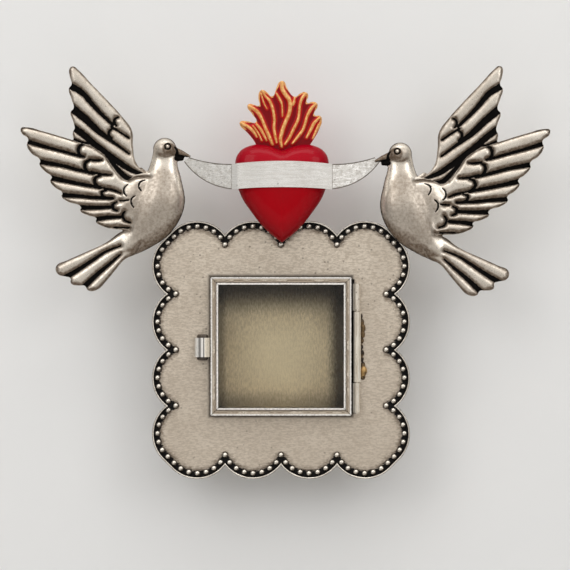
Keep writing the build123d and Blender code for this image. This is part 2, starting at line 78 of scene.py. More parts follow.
def applyAll(obj):
    activate(obj)
    for modifier in list(obj.modifiers):
        bpy.ops.object.modifier_apply(modifier=modifier.name)


def joinPieces(pieces, name):
    clearSelection()
    for piece in pieces:
        piece.select_set(True)
    bpy.context.view_layer.objects.active = pieces[0]
    bpy.ops.object.join()
    joined = bpy.context.object
    joined.name = name
    joined.data.name = name
    return joined


def freeze(obj):
    activate(obj)
    bpy.ops.object.transform_apply(location=True, rotation=True, scale=True)


def shadeSmooth(obj):
    activate(obj)
    bpy.ops.object.shade_smooth()


def addMelt(obj, turns):
    melt = obj.modifiers.new("melt", "SMOOTH")
    melt.factor = 0.5
    melt.iterations = turns
    return melt


# How finely curves are divided along their length and round their rims, and the reach within which points
# are welded
divisions = {"slab": (5, 2), "bar": (4, 14), "heart": 8}
weldReach = 0.002


# A bezier curve through points given in the xz plane, in metres
def drawCurve(points, radii=None, closed=False):
    clearSelection()
    bpy.ops.curve.primitive_bezier_curve_add()
    obj = bpy.context.object
    spline = obj.data.splines[0]
    spline.bezier_points.add(len(points) - 2)
    for i, (x, z) in enumerate(points):
        point = spline.bezier_points[i]
        point.handle_left_type = "AUTO"
        point.handle_right_type = "AUTO"
        point.co = (x, z, 0)
        point.radius = radii[i] if radii else 1
    spline.use_cyclic_u = closed
    obj.rotation_euler = (math.pi / 2, 0, 0)
    return obj


def toMesh(obj):
    activate(obj)
    bpy.ops.object.convert(target="MESH")
    freeze(bpy.context.object)
    bpy.ops.object.mode_set(mode="EDIT")
    bpy.ops.mesh.select_all(action="SELECT")
    bpy.ops.mesh.remove_doubles(threshold=weldReach * mm)
    bpy.ops.mesh.normals_make_consistent(inside=False)
    bpy.ops.object.mode_set(mode="OBJECT")
    return bpy.context.object


# A flat slab with rounded rims, from its back plane towards the front
def makeSlab(points, back, thickness, rim):
    obj = drawCurve(points, closed=True)
    curve = obj.data
    curve.dimensions = "2D"
    curve.fill_mode = "BOTH"
    curve.resolution_u, curve.bevel_resolution = divisions["slab"]
    curve.extrude = thickness / 2 - rim
    curve.bevel_depth = rim
    curve.offset = -rim
    obj.location.y = back - thickness / 2
    return toMesh(obj)


# A round bar whose radius changes from point to point, flattened from front to back
def makeBar(points, radii, depthShare, back):
    obj = drawCurve(points, radii)
    curve = obj.data
    curve.dimensions = "3D"
    curve.bevel_depth = 1
    curve.use_fill_caps = True
    curve.resolution_u, curve.bevel_resolution = divisions["bar"]
    obj = toMesh(obj)
    obj.scale.y = depthShare
    obj.location.y = back
    freeze(obj)
    return obj


def cutBehind(obj, plane):
    activate(obj)
    bpy.ops.object.mode_set(mode="EDIT")
    bpy.ops.mesh.select_all(action="SELECT")
    bpy.ops.mesh.bisect(plane_co=(0, plane, 0), plane_no=(0, 1, 0), use_fill=True, clear_outer=True)
    bpy.ops.object.mode_set(mode="OBJECT")


def voxelMerge(obj, voxel, smoothing):
    remesh = obj.modifiers.new("voxels", "REMESH")
    remesh.mode = "VOXEL"
    remesh.voxel_size = voxel
    addMelt(obj, smoothing)
    applyAll(obj)


def vertexArrays(obj):
    count = len(obj.data.vertices)
    places = np.zeros(count * 3, np.float32)
    normals = np.zeros(count * 3, np.float32)
    obj.data.vertices.foreach_get("co", places)
    obj.data.vertices.foreach_get("normal", normals)
    return places.reshape(-1, 3), normals.reshape(-1, 3)


def setPlaces(obj, places):
    obj.data.vertices.foreach_set("co", places.astype(np.float32).ravel())
    obj.data.update()


def setMask(obj, name, values):
    attribute = obj.data.attributes.get(name) or obj.data.attributes.new(name, "FLOAT", "POINT")
    attribute.data.foreach_set("value", np.clip(values, 0, 1).astype(np.float32))


def smoothStep(low, high, values):
    t = np.clip((values - low) / (high - low), 0, 1)
    return t * t * (3 - 2 * t)


# No piece reaches beyond the CAD model
def keepWithin(places):
    places[:, 0] = np.clip(places[:, 0], cadLow.x, cadHigh.x)
    places[:, 2] = np.clip(places[:, 2], cadLow.z, cadHigh.z)


# The slopes between which melting sets in, and the least weight that counts
meltLimits = {"slope": (0.02, 0.3), "least": 0.02}


# Melts the front of a piece from front to back only, near some lines and nowhere else
def meltNear(obj, lines, reach, turns):
    places, normals = vertexArrays(obj)
    clear, _ = lineField(places[:, [0, 2]].astype(float), lines)
    weights = (1 - smoothStep(0, reach, clear)) * smoothStep(*meltLimits["slope"], -normals[:, 1])
    group = obj.vertex_groups.new(name="melt")
    for index in np.nonzero(weights > meltLimits["least"])[0]:
        group.add([int(index)], float(weights[index]), "REPLACE")
    melt = addMelt(obj, turns)
    melt.use_x = False
    melt.use_z = False
    melt.vertex_group = "melt"
    applyAll(obj)
    obj.vertex_groups.remove(obj.vertex_groups["melt"])


# Distance from each point to the nearest line, less and over that line's own half width.
# A line is a list of (x, z, half width).
def lineField(flat, lines):
    clear = np.full(len(flat), 1e3)
    share = np.full(len(flat), 1e3)
    for line in lines:
        for (ax, az, aw), (bx, bz, bw) in zip(line, line[1:]):
            run = np.array((bx - ax, bz - az))
            offset = flat - np.array((ax, az))
            along = np.clip(offset @ run / (run @ run), 0, 1)
            away = np.linalg.norm(offset - along[:, None] * run, axis=1)
            width = aw + (bw - aw) * along
            clear = np.minimum(clear, away - width)
            share = np.minimum(share, away / width)
    return clear, share


# Rounds a given line off into short steps, with Catmull-Rom spans between its points
def softLine(points, steps=4):
    rounded = []
    for i in range(len(points) - 1):
        p0, p1 = np.array(points[max(i - 1, 0)]), np.array(points[i])
        p2, p3 = np.array(points[i + 1]), np.array(points[min(i + 2, len(points) - 1)])
        for k in range(steps):
            t = k / steps
            rounded.append(tuple(
                0.5 * (2 * p1 + (p2 - p0) * t + (2 * p0 - 5 * p1 + 4 * p2 - p3) * t**2
                       + (3 * p1 - p0 - 3 * p2 + p3) * t**3)
            ))
    rounded.append(tuple(points[-1]))
    return rounded


# Node helpers
def addNode(tree, kind, **values):
    node = tree.nodes.new(kind)
    for key, value in values.items():
        setattr(node, key, value)
    return node


def link(tree, source, target):
    tree.links.new(source, target)


# Sets a number or a colour on a socket, or links another socket to it
def feed(tree, value, socket):
    if isinstance(value, (int, float)):
        socket.default_value = value
    elif isinstance(value, tuple):
        socket.default_value = (*value, 1)
    else:
        link(tree, value, socket)


def newGroup(name, inputs, outputs):
    tree = bpy.data.node_groups.new(name, "ShaderNodeTree")
    for socketName, value in inputs.items():
        kind = "NodeSocketVector" if isinstance(value, tuple) else "NodeSocketFloat"
        socket = tree.interface.new_socket(name=socketName, in_out="INPUT", socket_type=kind)
        socket.default_value = value
    for socketName in outputs:
        tree.interface.new_socket(name=socketName, in_out="OUTPUT", socket_type="NodeSocketFloat")
    return tree, tree.nodes.new("NodeGroupInput").outputs, tree.nodes.new("NodeGroupOutput").inputs


def mathNode(tree, operation, *values, clamp=False):
    node = addNode(tree, "ShaderNodeMath", operation=operation, use_clamp=clamp)
    for socket, value in zip(node.inputs, values):
        feed(tree, value, socket)
    return node.outputs[0]


def plus(tree, a, b, clamp=False):
    return mathNode(tree, "ADD", a, b, clamp=clamp)


def minus(tree, a, b):
    return mathNode(tree, "SUBTRACT", a, b)


def times(tree, a, b):
    return mathNode(tree, "MULTIPLY", a, b)


def unsigned(tree, a):
    return mathNode(tree, "ABSOLUTE", a)


def diagonal(tree, a, b):
    squares = [mathNode(tree, "POWER", unsigned(tree, run), 2.0) for run in (a, b)]
    return mathNode(tree, "SQRT", plus(tree, *squares))


def rangeNode(tree, value, low, high, outLow=0.0, outHigh=1.0):
    node = addNode(tree, "ShaderNodeMapRange", interpolation_type="SMOOTHSTEP")
    names = ("Value", "From Min", "From Max", "To Min", "To Max")
    for name, given in zip(names, (value, low, high, outLow, outHigh)):
        feed(tree, given, node.inputs[name])
    return node.outputs["Result"]


# A range whose ends are given in millimetres
def fade(tree, value, low, high, outLow=0.0, outHigh=1.0):
    return rangeNode(tree, value, low * mm, high * mm, outLow, outHigh)


# One between two heights or distances, given in millimetres, and zero elsewhere
def band(tree, value, low, high, soft):
    rising = fade(tree, value, low - soft, low + soft)
    falling = fade(tree, value, high - soft, high + soft, 1.0, 0.0)
    return times(tree, rising, falling)


def mixColours(tree, factor, a, b):
    node = addNode(tree, "ShaderNodeMix", data_type="RGBA")
    for socket, value in ((node.inputs[0], factor), (node.inputs[6], a), (node.inputs[7], b)):
        feed(tree, value, socket)
    return node.outputs[2]


def objectPlace(tree):
    return addNode(tree, "ShaderNodeTexCoord").outputs["Object"]


def splitAxes(tree, vector):
    split = addNode(tree, "ShaderNodeSeparateXYZ")
    link(tree, vector, split.inputs[0])
    return split.outputs


def objectAxis(tree, axis):
    return splitAxes(tree, objectPlace(tree))[axis]


def readMask(tree, name):
    return addNode(tree, "ShaderNodeAttribute", attribute_name=name).outputs["Fac"]


def noiseNode(tree, place, scale, **values):
    noise = addNode(tree, "ShaderNodeTexNoise")
    link(tree, place, noise.inputs["Vector"])
    link(tree, scale, noise.inputs["Scale"])
    for key, value in values.items():
        noise.inputs[key].default_value = value
    return noise.outputs["Fac"]


# Most of the grain lies between the first two values, and nearly all of it between the other two
grainMost = (0.3, 0.7)
grainAll = (0.25, 0.75)


# Fine grain, stretched along one direction: brush marks, or plain mottling when it isn't stretched
def makeGrainGroup():
    tree, given, results = newGroup("brushGrain", {"Scale": 900.0, "Stretch": (1.0, 1.0, 1.0)}, ["Grain"])
    stretch = addNode(tree, "ShaderNodeVectorMath", operation="MULTIPLY")
    link(tree, objectPlace(tree), stretch.inputs[0])
    link(tree, given["Stretch"], stretch.inputs[1])
    grain = noiseNode(tree, stretch.outputs[0], given["Scale"], Detail=4.0, Roughness=0.65)
    link(tree, grain, results["Grain"])
    return tree


# Cloudy stains with soft edges, more of them as Amount rises
def makeStainGroup():
    tree, given, results = newGroup("stains", {"Scale": 60.0, "Amount": 0.5, "Softness": 0.15}, ["Mask"])
    clouds = noiseNode(tree, objectPlace(tree), given["Scale"], Detail=6.0, Roughness=0.6, Distortion=0.6)
    level = minus(tree, 1.0, given["Amount"])
    low = minus(tree, level, given["Softness"])
    high = plus(tree, level, given["Softness"])
    link(tree, rangeNode(tree, clouds, low, high), results["Mask"])
    return tree


# Small dark pits scattered over a surface. Each fades out a little beyond its own size.
def makePitGroup():
    tree, given, results = newGroup("pits", {"Scale": 500.0, "Size": 0.2, "Share": 0.3}, ["Mask"])
    cells = addNode(tree, "ShaderNodeTexVoronoi")
    link(tree, objectPlace(tree), cells.inputs["Vector"])
    link(tree, given["Scale"], cells.inputs["Scale"])
    chance = addNode(tree, "ShaderNodeSeparateColor")
    link(tree, cells.outputs["Color"], chance.inputs[0])
    chosen = mathNode(tree, "LESS_THAN", chance.outputs[0], given["Share"])
    pit = rangeNode(tree, cells.outputs["Distance"], given["Size"], times(tree, given["Size"], 1.6), 1.0, 0.0)
    link(tree, times(tree, pit, chosen), results["Mask"])
    return tree


# Sizes of the CAD model that the patina follows, in millimetres. The scallops have no outside further in
# than their points, which the last entry sees to: where that starts and ends, and how far inside a point
# then counts as.
tin = {
    "doorHalf": (28.15, 27.7), "windowHalf": (25.5, 25.1),
    "lobeRow": 37.3, "lobePitch": 22.4, "cornerStep": 3.7, "beadPath": 12.2,
    "innerFade": (1.2, 4.3, 7.0 * mm, 0.0),
}
plateLow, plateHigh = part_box("face_plate")
plateFront = plateLow.y
plateCentreZ = (plateLow.z + plateHigh.z) / 2


# How far a point lies outside the row of beads that follows the scallops, negative inside it
def makeScallopGroup():
    sizes = {"Row": 0.03, "Pitch": 0.02, "Step": 0.003, "Radius": 0.01, "Height": 0.0}
    tree, given, results = newGroup("scallopDistance", sizes, ["Distance"])
    row, pitch, step, radius = given["Row"], given["Pitch"], given["Step"], given["Radius"]
    x = unsigned(tree, objectAxis(tree, "X"))
    z = unsigned(tree, minus(tree, objectAxis(tree, "Z"), given["Height"]))
    out = mathNode(tree, "MAXIMUM", x, z)
    along = mathNode(tree, "MINIMUM", x, z)
    rise = minus(tree, out, row)
    folded = unsigned(tree, minus(tree, along, pitch))
    across = minus(tree, folded, times(tree, pitch, 0.5))
    arc = minus(tree, diagonal(tree, across, mathNode(tree, "MAXIMUM", rise, 0.0)), radius)
    corner = minus(tree, times(tree, row, 2.0), step)
    corner = plus(tree, corner, times(tree, radius, math.sqrt(2)))
    flat = times(tree, minus(tree, plus(tree, out, along), corner), math.sqrt(0.5))
    atCorner = mathNode(tree, "LESS_THAN", minus(tree, out, along), step)
    arcPart = times(tree, arc, minus(tree, 1.0, atCorner))
    distance = plus(tree, arcPart, times(tree, flat, atCorner))
    distance = minus(tree, distance, fade(tree, rise, *tin["innerFade"]))
    link(tree, distance, results["Distance"])
    return tree


# How far a point lies outside a rectangle, and how far it is from the lines through the corners
def makeFrameGroup():
    tree, given, results = newGroup(
        "frameDistance", {"Half Width": 0.02, "Half Height": 0.02}, ["Distance", "Mitre"])
    x = minus(tree, unsigned(tree, objectAxis(tree, "X")), given["Half Width"])
    z = minus(tree, unsigned(tree, objectAxis(tree, "Z")), given["Half Height"])
    link(tree, mathNode(tree, "MAXIMUM", x, z), results["Distance"])
    link(tree, unsigned(tree, minus(tree, x, z)), results["Mitre"])
    return tree


groups = {
    "grain": makeGrainGroup(), "stains": makeStainGroup(), "pits": makePitGroup(),
    "scallops": makeScallopGroup(), "frame": makeFrameGroup(),
}


def useGroup(tree, name, *values):
    node = addNode(tree, "ShaderNodeGroup", node_tree=groups[name])
    for socket, value in zip(node.inputs, values):
        socket.default_value = value
    return node.outputs


# How much of a range of shares the stains let through
def stains(tree, sizes, least=0.0, most=1.0):
    return rangeNode(tree, useGroup(tree, "stains", *sizes)[0], 0.0, 1.0, least, most)


def scallopDistance(tree):
    sizes = [tin[size] * mm for size in ("lobeRow", "lobePitch", "cornerStep", "beadPath")]
    return useGroup(tree, "scallops", *sizes, plateCentreZ)[0]


def frameDistance(tree, half):
    return useGroup(tree, "frame", half[0] * mm, half[1] * mm)


def newMaterial(name, **values):
    material = bpy.data.materials.new(name)
    material.use_nodes = True
    tree = material.node_tree
    shader = tree.nodes["Principled BSDF"]
    for key, value in values.items():
        shader.inputs[key.replace("_", " ")].default_value = value
    return material, tree, shader


# A finish under way: its tone and its roughness, which patina changes, and the grain that all its marks
# follow
def startFinish(name, look, **values):
    material, tree, shader = newMaterial(name, **values)
    fine = useGroup(tree, "grain", look["grainScale"], look.get("stretch", (1.0, 1.0, 1.0)))[0]
    return {"material": material, "tree": tree, "shader": shader, "fine": fine, "base": look["light"],
            "rough": rangeNode(tree, fine, *grainMost, *look["rough"])}


# Covers part of a finish with another tone, as much as the mask says
def cover(parts, mask, tone, rougher=0.0):
    tree = parts["tree"]
    parts["base"] = mixColours(tree, mask, parts["base"], tone)
    if rougher:
        parts["rough"] = plus(tree, parts["rough"], times(tree, mask, rougher))


# Marks are each a group, its sizes, a share and a tone. Stains are sized by scale, amount and softness,
# pits by scale, size and share.
def addMarks(parts, marks):
    tree = parts["tree"]
    for name, sizes, share, tone in marks:
        cover(parts, times(tree, useGroup(tree, name, *sizes)[0], share), tone)


# A value made ragged by the grain, so that no patina ends in a drawn line
def ragged(parts, value, amount):
    tree = parts["tree"]
    return plus(tree, value, rangeNode(tree, parts["fine"], *grainAll, -amount, amount))


# Patina along a distance in millimetres: over a range, or over a band where the limits are three. Its edge
# is ragged by the wave, and it shows as much as share and where say.
def addPatina(parts, distance, limits, tone, share=1.0, wave=0.0, rougher=0.2, where=1.0):
    tree = parts["tree"]
    if wave:
        distance = ragged(parts, distance, wave * mm)
    mask = (band if len(limits) == 3 else fade)(tree, distance, *limits)
    cover(parts, times(tree, times(tree, mask, share), where), tone, rougher)


# The bump is a strength and a height in millimetres
def finish(parts, relief, bump):
    tree, shader = parts["tree"], parts["shader"]
    node = addNode(tree, "ShaderNodeBump")
    node.inputs["Strength"].default_value, node.inputs["Distance"].default_value = bump[0], bump[1] * mm
    link(tree, relief, node.inputs["Height"])
    link(tree, node.outputs["Normal"], shader.inputs["Normal"])
    link(tree, parts["base"], shader.inputs["Base Color"])
    link(tree, parts["rough"], shader.inputs["Roughness"])
    return parts["material"]


def dressNode(names, material):
    for name in names:
        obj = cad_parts[name]
        obj.data.materials.clear()
        obj.data.materials.append(material)


black = (0.006, 0.005, 0.0045)
brown = (0.11, 0.075, 0.05)

# What all the tin has
wear = {
    "grainScale": 1300.0, "grainRange": (0.4, 0.6), "bumpHeight": 0.1,
    "broad": (45.0, 0.5, 0.22), "broadShare": 0.3, "small": (260.0, 0.42, 0.12), "smallShare": 0.16,
    "pits": (800.0, 0.24), "pitShare": 0.5, "pit": (0.05, 0.035, 0.025), "dents": (70.0, 0.5, 0.4),
}


# A tin has light and dark tones, a range of roughness, how metallic it is, how its grain is stretched and
# how much of it shows, and the strengths of its bump, its dents and its pits
def startTin(name, look):
    parts = startFinish(name, {**wear, **look}, Metallic=look["metallic"])
    tree, dark = parts["tree"], look["dark"]
    addMarks(parts, [("stains", wear["broad"], wear["broadShare"], dark),
                     ("stains", wear["small"], wear["smallShare"], dark)])
    cover(parts, times(tree, rangeNode(tree, parts["fine"], *wear["grainRange"]), look["grain"]), dark)
    addMarks(parts, [("pits", (*wear["pits"], look["pits"]), wear["pitShare"], wear["pit"])])
    return parts


def finishTin(parts, look):
    tree = parts["tree"]
    dents = times(tree, useGroup(tree, "stains", *wear["dents"])[0], look["dents"])
    return finish(parts, plus(tree, parts["fine"], dents), (look["bump"], wear["bumpHeight"]))


def beyondDoor(tree):
    return minus(tree, objectAxis(tree, "X"), tin["doorHalf"][0] * mm)


# In the dictionaries below, limits are a start, an end and, where they follow, the shares there, or a
# start, an end and the softness of a band. All are in millimetres.
plate = {
    "light": (0.81, 0.715, 0.595), "dark": (0.38, 0.31, 0.235), "rough": (0.34, 0.5), "metallic": 0.65,
    "stretch": (0.55, 1, 1.4), "grain": 0.55, "bump": 0.5, "dents": 5.0, "pits": 0.04,
    "low": {"limits": (-55.0, 50.0, 0.34, 0.0), "tone": (0.46, 0.385, 0.305), "rougher": 0.0},
    "halo": {"limits": (-2.3, 3.0, 0.9), "tone": brown, "wave": 0.45},
    "blots": (330.0, 0.5, 0.2), "blotShares": (0.2, 0.7),
    "border": {"limits": (-1.0, 4.0, 0.22), "tone": black, "wave": 0.45},
    "doorShadow": {"limits": (0.1, 1.5, 0.85, 0.0), "tone": (0.03, 0.022, 0.016), "wave": 0.3},
    "hingeShadow": {"limits": (0.0, 1.3, 0.15), "tone": black}, "hingeLength": (26.5, 27.2, 1.0, 0.0),
}


# Plain tin, with painted shade darker towards its foot, a brown halo and a black border along the beads,
# painted shadow round the door and black painted shadow beside the hinge
def makePlateTin():
    parts = startTin("plateTin", plate)
    tree = parts["tree"]
    height = objectAxis(tree, "Z")
    beads = scallopDistance(tree)
    # Painted shade: the plate darkens towards its foot
    addPatina(parts, height, **plate["low"])
    addPatina(parts, beads, **plate["halo"], where=stains(tree, plate["blots"], *plate["blotShares"]))
    addPatina(parts, beads, **plate["border"])
    # Painted shadow of the door frame on the plate
    addPatina(parts, frameDistance(tree, tin["doorHalf"])["Distance"], **plate["doorShadow"])
    # Painted shadow in black beside the hinge, along the knuckles' length
    hingeShadow = fade(tree, unsigned(tree, height), *plate["hingeLength"])
    addPatina(parts, beyondDoor(tree), **plate["hingeShadow"], where=hingeShadow)
    return finishTin(parts, plate)


lip = {
    "light": (0.95, 0.89, 0.80), "dark": (0.36, 0.30, 0.24), "rough": (0.19, 0.35), "metallic": 0.7,
    "stretch": (1, 1, 1), "grain": 0.3, "bump": 0.25, "dents": 1.0, "pits": 0.04,
    "foot": {"limits": (0.3, 0.75), "tone": (0.035, 0.024, 0.016), "wave": 0.2},
    "edge": {"limits": (1.86, 2.02, 0.0, 0.9), "tone": (0.03, 0.02, 0.014), "wave": 0.08},
}


def makeLipTin():
    parts = startTin("lipTin", lip)
    tree = parts["tree"]
    addPatina(parts, minus(tree, objectAxis(tree, "Y"), rimFront), **lip["foot"])
    addPatina(parts, scallopDistance(tree), **lip["edge"])
    return finishTin(parts, lip)


bead = {
    "light": (0.80, 0.745, 0.66), "dark": (0.42, 0.37, 0.31), "rough": (0.07, 0.23), "metallic": 0.7,
    "stretch": (1, 1, 1), "grain": 0.12, "bump": 0.08, "dents": 0.0, "pits": 0.0,
    "sideways": 0.6, "shadeRange": (-0.6, 0.1, 0.9, 0.0), "shade": (0.09, 0.065, 0.045),
    "sideShade": {"limits": (-0.5, -0.2, 0.0, 0.5), "tone": brown, "wave": 0.06},
    "foot": {"limits": (-0.2, 0.0), "tone": black, "wave": 0.06},
}


# Bright on top, with painted shade on the lower half and round the sides of each bead and black round its
# foot
def makeBeadTin():
    parts = startTin("beadTin", bead)
    tree = parts["tree"]
    facing = splitAxes(tree, addNode(tree, "ShaderNodeTexCoord").outputs["Normal"])
    turned = minus(tree, facing["Z"], times(tree, facing["X"], bead["sideways"]))
    # Painted shade: darker where a bead's surface turns down and to the right
    cover(parts, rangeNode(tree, turned, *bead["shadeRange"]), bead["shade"])
    depth = minus(tree, objectAxis(tree, "Y"), plateFront)
    # Painted shade: a brown band round each bead's sides
    addPatina(parts, depth, **bead["sideShade"])
    addPatina(parts, depth, **bead["foot"])
    return finishTin(parts, bead)


inner = {
    "light": (1.0, 0.82, 0.55), "dark": (0.50, 0.37, 0.20), "rough": (0.34, 0.5), "metallic": 0.4,
    "stretch": (1.3, 1, 0.4), "grain": 0.36, "bump": 0.4, "dents": 3.0, "pits": 0.0,
    "glowDrop": 6.0,
    "glow": {"limits": (2.0, 24.0, 0.55, 0.0), "tone": (1.0, 0.83, 0.54), "wave": 2.0, "rougher": 0.0},
    "dusk": {"limits": (16.0, 32.0, 0.0, 0.4), "tone": (0.40, 0.33, 0.22), "wave": 2.0, "rougher": 0.0},
    "within": (0.1, 0.3, 1.0, 0.0), "behind": (-0.4, -0.2, 1.0, 0.0),
    "shade": {"tone": (0.035, 0.021, 0.007), "wave": 0.7},
    "top": (-15.0, -1.5, 0.0, 0.93), "right": (-7.5, -2.0, 0.0, 0.86),
    "bottom": (-8.0, -0.8, 0.0, 0.45), "left": (-4.0, -0.8, 0.0, 0.5),
}


# A painted pool of golden light in the middle of the back, painted shade as it fades, and painted shadow
# towards the top and the right, with plain tin on the outside of the box
def makeInnerTin():
    parts = startTin("innerTin", inner)
    tree = parts["tree"]
    halfX, halfZ = tin["windowHalf"]
    height, across = objectAxis(tree, "Z"), objectAxis(tree, "X")
    radius = diagonal(tree, across, plus(tree, height, inner["glowDrop"] * mm))
    # Painted light: a warm pool on the back, fading into painted shade further out
    addPatina(parts, radius, **inner["glow"])
    addPatina(parts, radius, **inner["dusk"])
    within = times(
        tree, fade(tree, frameDistance(tree, tin["windowHalf"])["Distance"], *inner["within"]),
        fade(tree, objectAxis(tree, "Y"), *inner["behind"]))
    # Painted shadow along the edges of the opening, most at the top and the right
    for side, axis, sign, half in (("top", height, 1, halfZ), ("right", across, 1, halfX),
                                   ("bottom", height, -1, halfZ), ("left", across, -1, halfX)):
        outward = minus(tree, times(tree, axis, sign), half * mm)
        addPatina(parts, outward, inner[side], **inner["shade"], where=within)
    return finishTin(parts, inner)


# Distances run inwards from the door's outer edge
door = {
    "light": (0.97, 0.93, 0.87), "dark": (0.44, 0.36, 0.29), "rough": (0.2, 0.36), "metallic": 0.6,
    "stretch": (0.7, 1, 0.7), "grain": 0.22, "bump": 0.3, "dents": 1.0, "pits": 0.03,
    "wave": 0.07, "wander": 0.3, "worn": (120.0, 0.5, 0.3), "wornShares": (1.0, 0.65),
    "ridges": [(0.1, 0.62, 0.08), (2.42, 3.05, 0.08)], "ridge": (1.0, 0.97, 0.92), "ridgeShare": 0.85,
    "ridgeMetallic": (0.75, 0.3),
    "groove": {"limits": (0.75, 2.3, 0.15), "tone": (0.80, 0.69, 0.54), "share": 0.75, "rougher": 0.0},
    "streaks": (170.0, 0.55, 0.2),
    "streak": {"limits": (0.75, 2.3, 0.15), "tone": (0.30, 0.21, 0.135), "share": 0.5},
    "thread": {"limits": (1.55, 1.95, 0.14), "tone": (0.11, 0.075, 0.045), "share": 0.65},
    # The first and last of these lines are painted shade along the strip's outer and inner sides
    "lines": [(-1.0, 0.12, 0.95), (0.62, 0.76, 0.4), (2.0, 2.36, 0.85), (3.04, 4.5, 0.97)],
    "lineSoftness": 0.07, "lineTone": (0.035, 0.023, 0.015),
    "mitre": {"limits": (0.05, 0.26, 0.85, 0.0), "tone": (0.03, 0.02, 0.014)},
}


# Dark lines along a strip, each given as a start, an end and a share
def addLines(parts, distance, look, rougher):
    for low, high, share in look["lines"]:
        limits = (low, high, look["lineSoftness"])
        addPatina(parts, distance, limits, look["lineTone"], share, rougher=rougher)


# Each strip has a bright ridge on either side of a groove that holds brown streaks. The ridges' brightness is
# partly worn tin and partly painted highlight, and the dark lines at the strip's outer and inner sides are
# painted shade
def makeDoorTin():
    parts = startTin("doorTin", door)
    tree = parts["tree"]
    edges = frameDistance(tree, tin["doorHalf"])
    wavy = ragged(parts, times(tree, edges["Distance"], -1.0), door["wave"] * mm)
    ridges = plus(tree, *[band(tree, wavy, *ridge) for ridge in door["ridges"]], clamp=True)
    ridges = times(tree, ridges, stains(tree, door["worn"], *door["wornShares"]))
    # Painted highlight on the ridges, together with worn bright tin
    cover(parts, times(tree, ridges, door["ridgeShare"]), door["ridge"])
    metallic = rangeNode(tree, ridges, 0.0, 1.0, *door["ridgeMetallic"])
    link(tree, metallic, parts["shader"].inputs["Metallic"])
    streaks = stains(tree, door["streaks"])
    addPatina(parts, wavy, **door["groove"])
    addPatina(parts, wavy, **door["streak"], where=streaks)
    wander = plus(tree, wavy, times(tree, minus(tree, streaks, 0.5), 2 * door["wander"] * mm))
    addPatina(parts, wander, **door["thread"])
    addLines(parts, wavy, door, 0.2)
    addPatina(parts, edges["Mitre"], **door["mitre"])
    return finishTin(parts, door)


# The finish of the hinge and the latch
bright = {
    "light": (1.0, 0.95, 0.83), "dark": (0.48, 0.38, 0.27), "rough": (0.16, 0.32), "metallic": 0.45,
    "stretch": (2.2, 1, 0.1), "grain": 0.55, "bump": 0.3, "dents": 0.5, "pits": 0.04,
}
# Distances run outwards from the door's right edge
hinge = {
    "gap": {"limits": (0.75, 0.95, 0.95, 0.0), "tone": black},
    "rubbed": {"limits": (1.95, 2.15, 0.12), "tone": (0.2, 0.13, 0.07), "rougher": 0.0},
    "rubbedRange": (0.42, 0.55, 0.0, 0.6),
}


# Worn bright, with black painted shadow between the leaves and the door
def makeHingeTin():
    parts = startTin("brightTin", bright)
    tree = parts["tree"]
    beyond = beyondDoor(tree)
    # Painted shadow in the gap between the leaves and the door
    addPatina(parts, beyond, **hinge["gap"])
    addPatina(parts, beyond, **hinge["rubbed"], where=rangeNode(tree, parts["fine"], *hinge["rubbedRange"]))
    return finishTin(parts, bright)


# Distances run to the right from the middle of the box
latch = {
    "pale": (1.0, 0.98, 0.95), "paleShare": 0.7,
    # Painted reflections across the rolled tab, with painted shadow at its two ends
    "lines": [(-36.0, -35.0, 0.95), (-35.0, -34.1, 0.3), (-32.9, -31.9, 0.75), (-30.95, -30.6, 0.97),
              (-28.5, -27, 0.9)],
    "lineSoftness": 0.1, "lineTone": (0.045, 0.04, 0.036),
    "cream": {"limits": (-30.6, -30.2, 0.0, 0.5), "tone": (0.95, 0.80, 0.55), "rougher": 0.0},
}


# Paler than the hinge, with painted reflections as grey, dark and cream bands across the rolled tab and
# painted shadow at both ends
def makeLatchTin():
    parts = startTin("brightTin", bright)
    across = objectAxis(parts["tree"], "X")
    cover(parts, latch["paleShare"], latch["pale"])
    addLines(parts, across, latch, 0.0)
    addPatina(parts, across, **latch["cream"])
    return finishTin(parts, bright)


catch = {"worn": (420.0, 0.6, 0.15), "wornShares": (0.8, 0.97), "tone": (0.045, 0.03, 0.02), "rougher": 0.2}


def makeCatchTin():
    parts = startTin("brightTin", bright)
    cover(parts, stains(parts["tree"], catch["worn"], *catch["wornShares"]), catch["tone"], catch["rougher"])
    return finishTin(parts, bright)


# The ribbon is measured from the heart's centre line and up from its tip. Its tails' edges are arcs, each
# through three points.
ribbon = {
    "light": (1.0, 0.98, 0.94), "dark": (0.50, 0.46, 0.41), "rough": (0.2, 0.36), "metallic": 0.5,
    "stretch": (0.1, 0.4, 1.3), "grain": 0.36, "bump": 0.4, "dents": 1.0, "pits": 0.05,
    "tails": (19.8, 20.4), "speckles": (900.0, 0.47, 0.1), "speckleShares": (0.08, 0.5),
    "speckle": (0.30, 0.265, 0.22), "speckleRougher": 0.05,
    "leftShade": {"limits": (-14.0, 4.0, 0.3, 0.0), "tone": (0.55, 0.54, 0.50), "rougher": 0.0},
    "facet": {"limits": (-20.1, -17.6, 0.3), "tone": (0.42, 0.41, 0.39), "share": 0.5, "wave": 0.4,
              "rougher": 0.1},
    "fold": {"limits": (19.9, 20.12, 0.1), "tone": (0.14, 0.11, 0.085), "share": 0.8, "wave": 0.1},
    "tailTop": [(20.0, 31.2), (29.2, 32.2), (37.0, 34.3)],
    "tailBottom": [(20.0, 21.2), (32.1, 25.6), (39.2, 32.5)],
    "rim": {"limits": (0.3, 0.54, 0.92, 0.0), "tone": (0.10, 0.08, 0.06), "wave": 0.12},
}


